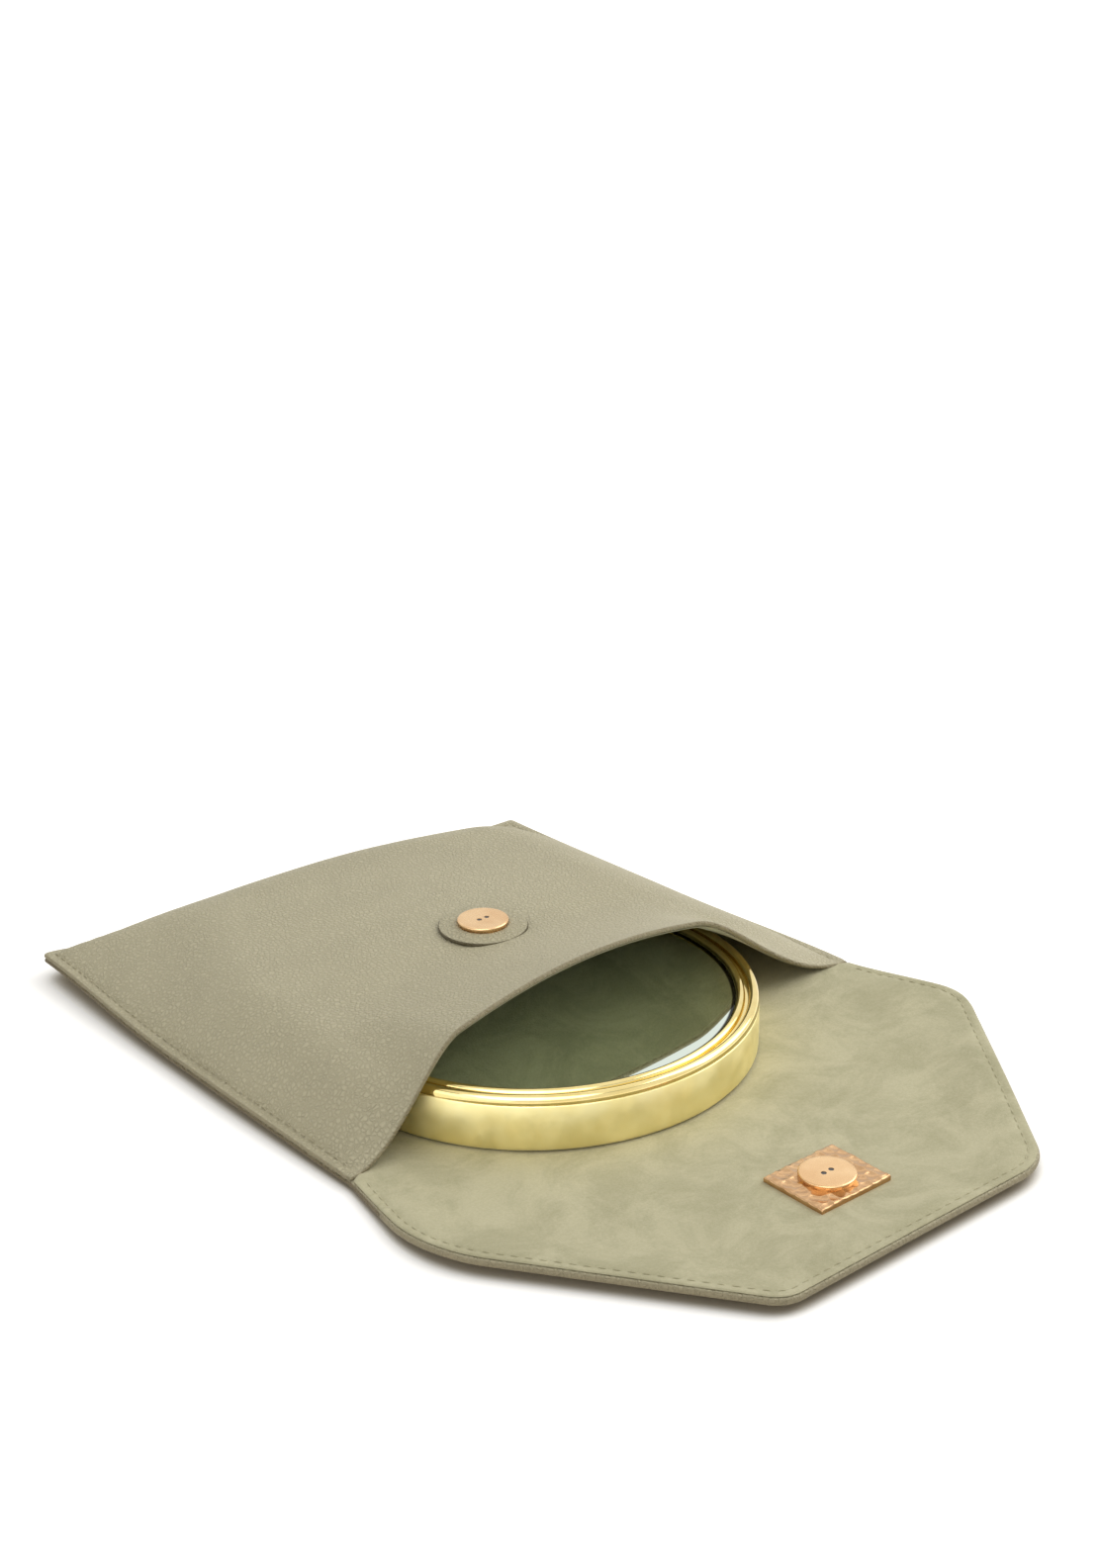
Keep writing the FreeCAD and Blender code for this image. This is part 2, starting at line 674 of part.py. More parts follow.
def make_mirror():
    """Ring, bezel, glass, pad, core and base of the mirror."""
    outer = D["mirror_radius"]
    inside = outer - D["rim_wall"]
    top = D["rim_height"]
    low = D["base_flange"]
    plug_top = low + D["base_plug"]
    disc = inside - D["fit_gap"]
    glass_top = top - D["layer_gap"]
    glass_low = glass_top - D["glass"]
    pad_top = glass_low - D["layer_gap"]
    pad_low = pad_top - D["mirror_pad"]
    core_top = pad_low - D["layer_gap"]
    core_low = plug_top + D["layer_gap"]
    base_out = outer - D["base_recess"]
    profiles = {
        "mirror_rim": rectangle(inside, low, outer, top),
        "mirror_glass": rectangle(ZERO, glass_low, disc, glass_top),
        "mirror_pad": rectangle(ZERO, pad_low, disc, pad_top),
        "mirror_core": rectangle(ZERO, core_low, disc, core_top),
        "mirror_base": [
            (ZERO, ZERO), (base_out, ZERO), (base_out, low), (disc, low), (disc, plug_top), (ZERO, plug_top),
        ],
    }
    for name, points in profiles.items():
        keep(name, place_mirror(revolve(name, points)))
    make_bezel()


def closing_angles():
    """Turn of the fold and of the flap panel that bring the two halves of the snap together."""
    run = D["flap_snap_y"].value - D["front_snap_y"].value
    front_face = FRONT_CAP_Z + D["cap_height"]
    flap_face = FLAP_CAP_Z + D["cap_height"]
    closed_middle = front_face + D["snap_gap"] + flap_face - SHEET_MIDDLE
    rise = (closed_middle - SHEET_MIDDLE).value
    lean = 2.0 * math.atan2(run, rise)
    return rise / math.sin(lean), math.degrees(math.pi - lean), math.degrees(lean)


def check_and_write():
    """Stop on any failed object, then write every sub-part."""
    doc.recompute()
    for obj in doc.Objects:
        if "Invalid" in obj.State or "Error" in obj.State:
            raise RuntimeError(f"{obj.Label} failed: {obj.State}")
    for name, obj in nodes.items():
        shape = obj.Shape
        if shape.isNull() or not shape.isValid() or not shape.Solids:
            raise RuntimeError(f"{name} has no valid solid")
    os.makedirs("parts", exist_ok=True)
    for name, obj in nodes.items():
        obj.Shape.exportStep(f"parts/{name}.step")
        print(f"{name}: {len(obj.Shape.Solids)} solid, {obj.Shape.Volume:.1f} mm3")


make_back()
make_fold()
make_flap()
make_front()
make_front_snap()
make_flap_snap()
make_mirror()
check_and_write()
second_axis, fold_turn, flap_turn = closing_angles()
print(f"mouth line at y {MOUTH_Y.value:.3f}, sheet middle at z {SHEET_MIDDLE.value:.3f}")
print(f"second fold line {second_axis:.3f} from the mouth line")
print(f"fold turns {fold_turn:.3f}, flap panel turns {flap_turn:.3f} degrees")
print(f"mirror slides {MIRROR_TRAVEL.value:.3f}")
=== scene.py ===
"""Dresses the round mirror in its leather envelope pouch, and sets up the studio view.

Plan sizes are in millimetres: x across the pouch, y from its mouth line to its closed end, z up.
Lamps, floor and camera have their places and sizes in metres, in the row frame.
"""
import bpy
import math
import numpy as np
from mathutils import Matrix, Vector
from mathutils.geometry import delaunay_2d_cdt


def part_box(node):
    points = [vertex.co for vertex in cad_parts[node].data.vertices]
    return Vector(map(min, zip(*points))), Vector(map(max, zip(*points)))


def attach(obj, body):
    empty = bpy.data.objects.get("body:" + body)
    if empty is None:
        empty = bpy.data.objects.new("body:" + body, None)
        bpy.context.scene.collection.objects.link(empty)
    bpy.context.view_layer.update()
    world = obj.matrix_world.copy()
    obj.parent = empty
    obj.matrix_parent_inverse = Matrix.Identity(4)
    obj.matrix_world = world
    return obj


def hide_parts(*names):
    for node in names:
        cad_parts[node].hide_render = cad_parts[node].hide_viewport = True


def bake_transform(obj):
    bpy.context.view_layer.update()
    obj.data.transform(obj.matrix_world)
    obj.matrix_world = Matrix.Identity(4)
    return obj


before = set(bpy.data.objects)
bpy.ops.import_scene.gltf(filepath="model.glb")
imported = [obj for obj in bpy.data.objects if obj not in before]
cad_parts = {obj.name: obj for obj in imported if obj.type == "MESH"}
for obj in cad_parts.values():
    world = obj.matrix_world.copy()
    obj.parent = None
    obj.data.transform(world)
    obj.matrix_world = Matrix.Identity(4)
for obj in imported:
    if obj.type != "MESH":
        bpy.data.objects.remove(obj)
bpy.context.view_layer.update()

MM = 0.001
MOUTH_Y = -22.5
SHARP_ANGLE = math.radians(60.0)

# Outline of the pouch and its open flap
HALF_WIDTH = 84.0
POUCH_LENGTH = 148.0
FLAP_LENGTH = 103.0
HALF_FLAP = 92.0
FLARE_LENGTH = 36.0
HALF_TIP = 43.0
CORNER_ROUNDS = (35.0, 18.0)
TIP_ROUNDS = (9.5, 17.0)
END_ROUND = 1.5
EDGE_STEP = 1.6
SPLIT_Y = -16.0

# Layers of the back, the fold and the flap; the sewn border of the pouch has leather alone
LEATHER_TOP = 1.9
SEAM_LEATHER = 1.2
LINING_LOW = 1.95
SHEET_TOP = 2.5
LINING_INSET = 0.6
LINING_SEAM = 7.0
LINING_CORNER = 4.0
LINING_SHOULDER = (3.0, -1.0)
CORNER_INSET = (1.2, 0.3)
TIP_INSET = 0.6
BOARD_INSET = 3.6
BOARD_BEVEL = 3.0
BOARD_MOUTH = (5.0, 10.0)
LEATHER_ROUND = 0.8
LINING_ROUND = 0.45

# Front panel: a pillow over the mirror, whose mouth stands open
SEAM_TOP = 2.6
FRONT_LEATHER = 1.3
FRONT_LINING = 0.4
BODY_HEIGHT = 17.0
SNAP_DOME = 1.72
DOME_SPREAD = 1.18
DOME_REACH = (70.0, 62.0)
DOME_SHIFT = 2.0
SIDE_FOOT = 81.5
SIDE_RISES = (20.0, 34.0)
FAR_SIDE_EASE = 24.0
FAR_SIDE_FROM = 66.0
END_FOOT = 145.5
END_RISE = 23.0
END_EASE = 26.0
END_EASE_REACH = 80.0
HIP_POWER = 4.0
MOUTH_SCOOP = 4.0
MOUTH_HEIGHT = 32.64
MOUTH_CROWN = 0.139
MOUTH_CROWN_X = -3.2
MOUTH_CROWN_REACH = 45.0
MOUTH_LEFT = (83.3, 33.7)
MOUTH_RIGHT = (84.4, 55.0)
LIP_REACH = 46.0
LIP_POWER = 1.35
FLANK_REACH = 20.0
FLANK_POWER = 1.5
FRONT_ROUND = 0.75
FRONT_LINING_ROUND = 0.3
FRONT_LINING_INSET = 0.7
FRONT_LINING_CLEARANCE = 0.1
LAYER_GAP = 0.03

# How the sheets lie: lifted borders, a pouch out of square and uneven suede
FLAP_LIFT = 2.1
FLAP_LEFT_LIFT = 0.8
FLAP_LEFT_FROM = -40.0
FLAP_RIGHT_LIFT = 2.2
FLAP_RIGHT_FROM = 10.0
FLAP_SIDE_REACH = 50.0
FLAP_TIP_FADE = 45.0
FLAP_MOUTH_FADE = 42.0
FLAP_CURL = 26.0
FLAP_CURL_POWER = 1.5
FLAP_WAVES = ((0.1, 31.0, 0.8), (0.08, 23.0, 0.0))
LEFT_LIFT = 2.0
LEFT_LIFT_REACH = 22.0
LEFT_PULL = 2.2
LEFT_PULL_REACH = 40.0
LEFT_PULL_FADE = 0.6
LEFT_PULL_FADE_FROM = 90.0
LEFT_STRETCH_FROM = -40.0
LEFT_STRETCH_LENGTH = 100.0
FAR_CORNER_LIFT = 2.4
FAR_CORNER_REACH = (50.0, 75.0)
MOUTH_CORNER_LIFT = 2.6
MOUTH_CORNER_REACH = (45.0, 70.0)
CORNER_PULL = (-3.0, -3.5)
CORNER_PULL_REACH = (120.0, 100.0)
RIPPLE_FROM = -26.0
RIPPLE_FADE = 10.0
RIPPLE_INSET = 4.0
RIPPLE_WAVES = ((0.16, 17.0, 0.6), (1.0, 21.0, 1.1))
RIPPLE_FINE = (0.08, 7.5)
RIPPLE_SLANT = 9.0
RING_TRACE = 0.25
RING_TRACE_Y = -18.5
RING_TRACE_REACH = (36.0, 7.0)

# Stitching
STITCH_INSET = 2.9
STITCH_PITCH = 3.3
STITCH_LENGTH = 2.5
STITCH_RADIUS = 0.24
GROOVE_DEPTH = 0.3
GROOVE_WIDTH = 0.55
GROOVE_FADE = 12.0
STITCH_PROUD = 0.55
STITCH_BEND = 0.34
STITCH_START = 3.0
SEAM_START = 4.0

# Fineness of the meshes: distances of their rows of points from an edge, and the spacing inside
LEATHER_ROWS = (0.12, 0.3, 0.55, 0.85, 1.2, 1.8, 2.4, 2.9, 3.4, 4.2, 5.6)
LINING_ROWS = (0.15, 0.4, 0.8, 1.4, 1.9, 2.3, 2.8, 3.6, 5.0)
FRONT_ROWS = (0.1, 0.28, 0.55, 0.9, 1.4, 2.1, 2.6, 2.9, 3.3, 4.2, 5.6)
FRONT_LINING_ROWS = (0.15, 0.4, 0.9, 2.0)
SHEET_SPACING = 2.6
FRONT_SPACING = 2.0
ROW_PITCH = 0.866
ROW_SLACK = 0.03
EDGE_CLEARANCE = 0.05
MERGE_DISTANCE = 1e-4
ON_EDGE = 1e-3
SPLIT_POINTS = 113
SPLIT_CLEARANCE = 0.2
MOUTH_POINTS = 151
MOUTH_CLEARANCE = 0.4
STITCH_STATIONS = 9
STITCH_SPOKES = 8
RING_SEGMENTS = 320
WASHER_SEGMENTS = 96
CAP_SEGMENTS = 120
MARK_SEGMENTS = 20

# Mirror and snap
MIRROR_X = -6.4
MIRROR_Y = 26.5
MIRROR_Z = 2.8
RING_RADIUS = 58.5
OUTER_BEAD = (57.0, 1.5, 14.6)
INNER_BEAD = (53.5, 1.3, 14.3)
BEAD_FOOT = 12.55
BEAD_POWER = 2.2
BEAD_VALLEY = 12.9
BEAD_GROOVE = (55.15, 12.8)
GLASS_BORDER = (51.1, 51.6)
WASHER_RADIUS = 12.25
WASHER_Z = 21.35
FRONT_SNAP_Y = 56.0
FLAP_SNAP_Y = -73.0
PLATE_SIZE = (23.0, 19.0)
PLATE_GRID = (139, 115)
PLATE_THICKNESS = 1.3
PLATE_ROUND = 0.35
PLATE_EDGE_DROP = 0.3
PLATE_GAP = 0.05
DENT_PITCH = 2.7
DENT_SHIFT = 0.95
DENT_DEPTHS = (-0.05, 0.06)
DENT_BOWL = 0.085
DENT_LIMIT = 0.28
CAP_RADIUS = 7.0
CAP_HEIGHT = 1.7
CAP_SHOULDER = 0.45
CAP_FOOT = 0.93
MARK_OFFSET = 1.25
MARK_RADIUS = 0.7
MARK_DEPTH = 0.9
MARK_SLOPE = 0.2
MARK_ROWS = (0.5, 0.8, 0.9, 1.0, 1.2)
CAP_ROWS = (0.02, 0.06, 0.12, 0.2, 0.3, CAP_SHOULDER)
CAP_SPACING = 0.45

# Light and floor
WORLD_LEVEL = 0.48
HIGH_SKY = 0.4
CARD_LEVEL = 3.0
CARD_TOWARD = (-0.43, -0.475, 0.766)
CARD_EDGE = (0.86, 0.92)
OVERHEAD_LEVEL = 0.86
OVERHEAD_PLACE = (0.2, 0.12, 1.0)
OVERHEAD_SPREAD = math.radians(90.0)
SIDE_POWER = 2.7
SIDE_SIZE = 0.6
SIDE_PLACE = (0.52, -0.2, 0.46)
SIDE_TARGET = (0.0, -0.02, 0.01)
FILL_POWER = 1.05
FILL_SIZE = (0.9, 0.45)
FILL_PLACE = (-0.68, -0.08, 0.27)
FILL_TARGET = (0.0, 0.03, 0.01)
FLOOR_HALF = 12.0
FLOOR_DROP = 0.0002
CONTACT_REACH = 0.02
# Colour of the painted contact shadow on the floor.
PAINTED_CONTACT_SHADOW = (0.5, 0.44, 0.35, 1.0)
PAPER_COLOUR = (0.95, 0.93, 0.89, 1.0)

# Camera, fitted to the photograph
CAMERA_PLACE = (-0.3466, -0.4141, 0.2930)
CAMERA_YAW = math.radians(39.6)
CAMERA_PITCH = math.radians(22.11)
CAMERA_ROLL = math.radians(-0.65)
PHOTO_HEIGHT = 1585.0
FOCAL_PIXELS = 2340.5
SENSOR = 36.0


def smooth(t):
    """0 up to t = 0, 1 from t = 1, with an even rise between."""
    t = np.clip(t, 0.0, 1.0)
    return t * t * (3.0 - 2.0 * t)


def pillow(t):
    """0 up to t = 0, 1 from t = 1: a rise that starts at once and levels off."""
    return np.sin(np.pi / 2 * np.clip(t, 0.0, 1.0))


def bulge(d, radius):
    """Share of its full thickness that a sheet with a rounded edge has at a distance d from it."""
    return np.sqrt(np.clip(1.0 - (1.0 - np.clip(d / radius, 0.0, 1.0)) ** 2, 0.0, 1.0))


# Plan outlines


def corner_arc(before, corner, after, radius, step):
    """Points round one corner of a polygon."""
    a = (before - corner).normalized()
    b = (after - corner).normalized()
    half = a.angle(b) / 2
    centre = corner + (a + b).normalized() * (radius / math.sin(half))
    first = corner + a * (radius / math.tan(half)) - centre
    last = corner + b * (radius / math.tan(half)) - centre
    turn = first.angle(last)
    count = max(4, math.ceil(turn * radius / step))
    points = []
    for i in range(count + 1):
        t = i / count
        arm = first * math.sin((1 - t) * turn) + last * math.sin(t * turn)
        points.append(centre + arm / math.sin(turn))
    return points


def rounded_loop(corners, step):
    """A closed polygon of (x, y, radius) corners, rounded and divided into short steps."""
    turned = []
    for i, (x, y, radius) in enumerate(corners):
        corner = Vector((x, y))
        if radius == 0:
            turned.append(corner)
            continue
        before = Vector(corners[i - 1][:2])
        after = Vector(corners[(i + 1) % len(corners)][:2])
        turned.extend(corner_arc(before, corner, after, radius, step / 2))
    return divided(np.array(turned), step)


def divided(points, step, closed=True):
    """The same line with its long sides divided."""
    out = []
    ends = np.roll(points, -1, axis=0) if closed else points[1:]
    for a, b in zip(points, ends):
        pieces = max(1, math.ceil(np.linalg.norm(b - a) / step))
        for i in range(pieces):
            out.append(a + (b - a) * i / pieces)
    if not closed:
        out.append(points[-1])
    return np.array(out)


def flare(y):
    """Half the width of the sheet between the mouth line and its widest place."""
    return HALF_WIDTH - y * (HALF_FLAP - HALF_WIDTH) / FLARE_LENGTH


def mirrored(corners):
    """A whole outline from (half width, y, left radius, right radius) of its pairs of corners."""
    left = [(-x, y, radius) for x, y, radius, _ in corners]
    return left + [(x, y, radius) for x, y, _, radius in reversed(corners)]


def leather_corners():
    """The sheet of leather that makes the back, the fold and the flap, counter-clockwise."""
    return mirrored([
        (HALF_WIDTH, POUCH_LENGTH, END_ROUND, END_ROUND), (HALF_WIDTH, 0.0, 0, 0),
        (HALF_FLAP, -FLARE_LENGTH, *CORNER_ROUNDS), (HALF_TIP, -FLAP_LENGTH, *TIP_ROUNDS),
    ])


def lining_corners():
    """Its lining, which ends short of the pouch's seams and near the edge of the flap."""
    inset = LINING_INSET
    side = HALF_WIDTH - LINING_SEAM
    corner_rounds = [radius - inset for radius in CORNER_ROUNDS]
    tip_rounds = [radius - inset for radius in TIP_ROUNDS]
    return mirrored([
        (side, POUCH_LENGTH - LINING_SEAM, LINING_CORNER, LINING_CORNER),
        (side, LINING_SHOULDER[0], 0, 0), (flare(LINING_SHOULDER[1]) - inset, LINING_SHOULDER[1], 0, 0),
        (HALF_FLAP - inset * CORNER_INSET[0], inset * CORNER_INSET[1] - FLARE_LENGTH, *corner_rounds),
        (HALF_TIP - inset * TIP_INSET, inset - FLAP_LENGTH, *tip_rounds),
    ])


def edge_distance(points, loop):
    """Distance of each point from a closed loop."""
    best = np.full(len(points), np.inf)
    for a, b in zip(loop, np.roll(loop, -1, axis=0)):
        side = b - a
        t = np.clip(((points - a) @ side) / (side @ side), 0.0, 1.0)
        gap = points - a - t[:, None] * side
        best = np.minimum(best, (gap ** 2).sum(axis=1))
    return np.sqrt(best)


def inside(points, loop):
    """Which points lie inside a closed loop."""
    found = np.zeros(len(points), bool)
    x, y = points.T
    for a, b in zip(loop, np.roll(loop, -1, axis=0)):
        if a[1] == b[1]:
            continue
        spans = (a[1] > y) != (b[1] > y)
        crossing = a[0] + (y - a[1]) * (b[0] - a[0]) / (b[1] - a[1])
        found ^= spans & (x < crossing)
    return found


def ring(loop, distance):
    """The points of a counter-clockwise loop, moved inwards."""
    ahead = np.roll(loop, -1, axis=0) - np.roll(loop, 1, axis=0)
    inward = np.stack([-ahead[:, 1], ahead[:, 0]], axis=1)
    inward /= np.linalg.norm(inward, axis=1)[:, None]
    moved = loop + inward * distance
    return moved[edge_distance(moved, loop) > distance - ROW_SLACK]


def lattice(loop, spacing):
    """Staggered points over the box of a loop."""
    low = loop.min(axis=0)
    high = loop.max(axis=0)
    points = []
    for row, y in enumerate(np.arange(low[1], high[1], spacing * ROW_PITCH)):
        for x in np.arange(low[0] + spacing / 2 * (row % 2), high[0], spacing):
            points.append((x, y))
    return np.array(points)


def filled(loop, edge, distances, spacing, more=()):
    """Points and triangles that fill a loop, finer near an edge loop, with more points where given."""
    extra = [ring(edge, distance) for distance in distances] + list(more)
    inner = lattice(loop, spacing)
    extra.append(inner[edge_distance(inner, edge) > distances[-1] + spacing / 2])
    extra = np.concatenate(extra)
    extra = extra[inside(extra, loop)]
    extra = extra[edge_distance(extra, loop) > EDGE_CLEARANCE]
    points = [Vector(p) for p in np.concatenate([loop, extra])]
    sides = [(i, (i + 1) % len(loop)) for i in range(len(loop))]
    plan, _, faces, _, _, _ = delaunay_2d_cdt(points, sides, [], 1, MERGE_DISTANCE)
    return np.array(plan), [list(face) for face in faces]


# Meshes


def pulled(points):
    """The pouch lies a little out of square: its far right corner is drawn in and its left side bulges."""
    moved = np.array(points, float)
    left = smooth(1.0 - (moved[:, 0] + HALF_WIDTH) / LEFT_PULL_REACH) * left_stretch(moved[:, 1])
    far = smooth((moved[:, 1] - LEFT_PULL_FADE_FROM) / (POUCH_LENGTH - LEFT_PULL_FADE_FROM))
    moved[:, 0] -= LEFT_PULL * left * (1.0 - LEFT_PULL_FADE * far)
    x = (HALF_WIDTH - moved[:, 0]) / CORNER_PULL_REACH[0]
    y = (POUCH_LENGTH - moved[:, 1]) / CORNER_PULL_REACH[1]
    share = smooth(1.0 - np.hypot(x, y))
    moved[:, :2] += np.outer(share, CORNER_PULL)
    return moved


def new_object(name, points, faces, marks=None):
    """A smooth mesh object with sharp rims; marks are the faces' material numbers."""
    used = np.unique(np.concatenate([np.asarray(face) for face in faces]))
    number = np.full(len(points), -1)
    number[used] = np.arange(len(used))
    row = (np.asarray(points)[used] + np.array([0.0, MOUTH_Y, 0.0])) * MM
    mesh = bpy.data.meshes.new(name)
    mesh.from_pydata(row.tolist(), [], [[int(number[i]) for i in face] for face in faces])
    mesh.polygons.foreach_set("use_smooth", np.ones(len(faces), bool))
    mesh.set_sharp_from_angle(angle=SHARP_ANGLE)
    if marks is not None:
        mesh.polygons.foreach_set("material_index", np.asarray(marks, np.int32))
    mesh.update()
    piece = bpy.data.objects.new(name, mesh)
    bpy.context.collection.objects.link(piece)
    return piece, used


def grid_faces(rows, columns, join_rows=False, join_columns=False):
    """Four-sided faces of a grid of points, whose last row or column may be joined to the first."""
    faces = []
    for row in range(rows if join_rows else rows - 1):
        here = row * columns
        there = (row + 1) % rows * columns
        for k in range(columns if join_columns else columns - 1):
            after = (k + 1) % columns
            faces.append([here + k, here + after, there + after, there + k])
    return faces


def shell(top, bottom, faces, closed):
    """Points and faces of a thin solid between two surfaces that meet where closed is true."""
    count = len(top)
    low = np.where(closed, np.arange(count), np.arange(count) + count)
    out = [list(face) for face in faces]
    out += [[int(low[i]) for i in reversed(face)] for face in faces]
    sides = {(a, b) for face in faces for a, b in zip(face, face[1:] + face[:1])}
    for a, b in sorted(sides):
        if (b, a) in sides or (closed[a] and closed[b]):
            continue
        wall = [b, a, int(low[a]), int(low[b])]
        out.append([i for k, i in enumerate(wall) if i not in wall[:k]])
    return np.concatenate([top, bottom]), out


def stitch_places(path, pitch):
    """Middles and directions of stitches along an open path."""
    steps = np.linalg.norm(np.diff(path, axis=0), axis=1)
    along = np.concatenate([[0.0], np.cumsum(steps)])
    middles = np.arange(pitch / 2, along[-1], pitch)

    def at(distance):
        return np.stack([np.interp(distance, along, path[:, k]) for k in (0, 1)], axis=1)

    ahead = at(middles + 0.5) - at(middles - 0.5)
    return at(middles), ahead / np.linalg.norm(ahead, axis=1)[:, None]


def stitch_mesh(middles, ahead, height, side):
    """Small rounded stitches that lie on a surface; side is 1 above it and -1 below it."""
    stations = np.linspace(-1.0, 1.0, STITCH_STATIONS)
    spokes = np.linspace(0.0, 2.0 * math.pi, STITCH_SPOKES, endpoint=False)
    spots = middles[:, None, :] + ahead[:, None, :] * (stations * STITCH_LENGTH / 2)[None, :, None]
    base = height(spots[..., 0].ravel(), spots[..., 1].ravel()).reshape(spots.shape[:2])
    base = base + side * (STITCH_RADIUS * STITCH_PROUD - STITCH_BEND * stations ** 2)
    thick = STITCH_RADIUS * np.sqrt(np.maximum(1.0 - stations ** 4, 0.05))
    across = np.stack([-ahead[:, 1], ahead[:, 0]], axis=1)
    wide = thick[:, None] * np.cos(spokes)
    tall = thick[:, None] * np.sin(spokes)
    plan = spots[:, :, None, :] + across[:, None, None, :] * wide[None, :, :, None]
    rise = base[:, :, None] + tall[None, :, :]
    points = np.concatenate([plan, np.maximum(rise, 0.0)[..., None]], axis=3).reshape(-1, 3)
    count = STITCH_STATIONS * STITCH_SPOKES
    one = grid_faces(STITCH_STATIONS, STITCH_SPOKES, join_columns=True)
    one.append(list(reversed(range(STITCH_SPOKES))))
    one.append(list(range(count - STITCH_SPOKES, count)))
    return points, [[first + i for i in face] for first in range(0, len(points), count) for face in one]


def joined(parts):
    """One list of points and faces from several, with the material number of each face."""
    points, faces, marks = [], [], []
    start = 0
    for part_points, part_faces, mark in parts:
        if len(part_faces) == 0:
            continue
        points.append(part_points)
        faces += [[i + start for i in face] for face in part_faces]
        marks += [mark] * len(part_faces)
        start += len(part_points)
    return np.concatenate(points), faces, marks


def keep_values(piece, name, values):
    """Keep one number for each point on a mesh, for its material."""
    attribute = piece.data.attributes.new(name, "FLOAT", "POINT")
    attribute.data.foreach_set("value", np.asarray(values, np.float32))


def lathe(name, profile, segments, middle):
    """A closed profile of (radius, height) points, turned about an upright line."""
    turns = np.linspace(0.0, 2.0 * math.pi, segments, endpoint=False)
    profile = np.array(profile)
    points = []
    for turn in turns:
        x = middle[0] + profile[:, 0] * math.cos(turn)
        y = middle[1] + profile[:, 0] * math.sin(turn)
        points.append(np.stack([x, y, middle[2] + profile[:, 1]], axis=1))
    faces = grid_faces(segments, len(profile), join_rows=True, join_columns=True)
    outward = [[a, d, c, b] for a, b, c, d in faces]
    return new_object(name, np.concatenate(points), outward)[0]


# Heights of the soft sheets


def wave(t, height, length, shift):
    """A slow rise and fall."""
    return height * np.sin(t / length + shift)


def left_stretch(y):
    """Share of the left side's bulge along the pouch, which dies away on the flap."""
    return smooth((y - LEFT_STRETCH_FROM) / LEFT_STRETCH_LENGTH)


def corner_lift(x, y):
    """The left seam of the pouch, its far left corner and its right mouth corner stand off the table."""
    left = smooth(1.0 - (x + HALF_WIDTH) / LEFT_LIFT_REACH) * left_stretch(y)
    far = np.hypot((x + HALF_WIDTH) / FAR_CORNER_REACH[0], (POUCH_LENGTH - y) / FAR_CORNER_REACH[1])
    near = np.hypot((HALF_WIDTH - x) / MOUTH_CORNER_REACH[0], y / MOUTH_CORNER_REACH[1])
    corners = FAR_CORNER_LIFT * smooth(1.0 - far) + MOUTH_CORNER_LIFT * smooth(1.0 - near)
    return corners + LEFT_LIFT * left


def flap_lift(x, y, d):
    """The flap curls up towards its border, and lies flat in its middle."""
    left = FLAP_LEFT_LIFT * smooth((FLAP_LEFT_FROM - x) / FLAP_SIDE_REACH)
    right = FLAP_RIGHT_LIFT * smooth((x - FLAP_RIGHT_FROM) / FLAP_SIDE_REACH)
    right = right * smooth((y + FLAP_LENGTH) / FLAP_TIP_FADE)
    edge = (FLAP_LIFT + left + right) * (1.0 + wave(x, *FLAP_WAVES[0]) + wave(y, *FLAP_WAVES[1]))
    return edge * smooth(1.0 - d / FLAP_CURL) ** FLAP_CURL_POWER * smooth(-y / FLAP_MOUTH_FADE)


def sheet_lift(x, y, d):
    return corner_lift(x, y) + flap_lift(x, y, d)


def ripple(x, y):
    """Slow unevenness of suede that lies loose."""
    broad = wave(x, *RIPPLE_WAVES[0]) * wave(y, *RIPPLE_WAVES[1])
    return broad + wave(x, *RIPPLE_FINE, -y / RIPPLE_SLANT)


def ring_trace(x, y):
    """Depth to which the ring presses the lining of the fold when the pouch is closed."""
    across = (x - MIRROR_X) / RING_TRACE_REACH[0]
    along = (y - RING_TRACE_Y) / RING_TRACE_REACH[1]
    return RING_TRACE * np.exp(-(across ** 2) - along ** 2)


def groove(d):
    """Depth to which the thread draws the leather in."""
    return GROOVE_DEPTH * np.exp(-(((d - STITCH_INSET) / GROOVE_WIDTH) ** 2))


def seam_distance(x, y):
    """Distance from the sewn sides and end of the pouch."""
    return np.minimum(HALF_WIDTH - np.abs(x), POUCH_LENGTH - y)


def leather_top(x, y):
    """Upper face of the flat leather and its board; the board ends short of the pouch's seams."""
    board = smooth((seam_distance(x, y) - BOARD_INSET) / BOARD_BEVEL)
    board = np.maximum(board, smooth((BOARD_MOUTH[0] - y) / BOARD_MOUTH[1]))
    return SEAM_LEATHER + (LEATHER_TOP - SEAM_LEATHER) * board


def mouth_edge(x):
    """Distance of the curved mouth edge from the mouth line."""
    return MOUTH_SCOOP * np.clip(1.0 - (x / HALF_WIDTH) ** 2, 0.0, 1.0) ** 2


def mouth_arch(x):
    """Height of the open mouth's edge above the seam."""
    left = smooth((x + MOUTH_LEFT[0]) / MOUTH_LEFT[1])
    right = smooth((MOUTH_RIGHT[0] - x) / MOUTH_RIGHT[1])
    crown = MOUTH_CROWN * ((x - MOUTH_CROWN_X) / MOUTH_CROWN_REACH) ** 2
    return MOUTH_HEIGHT * left * right * (1.0 - crown)


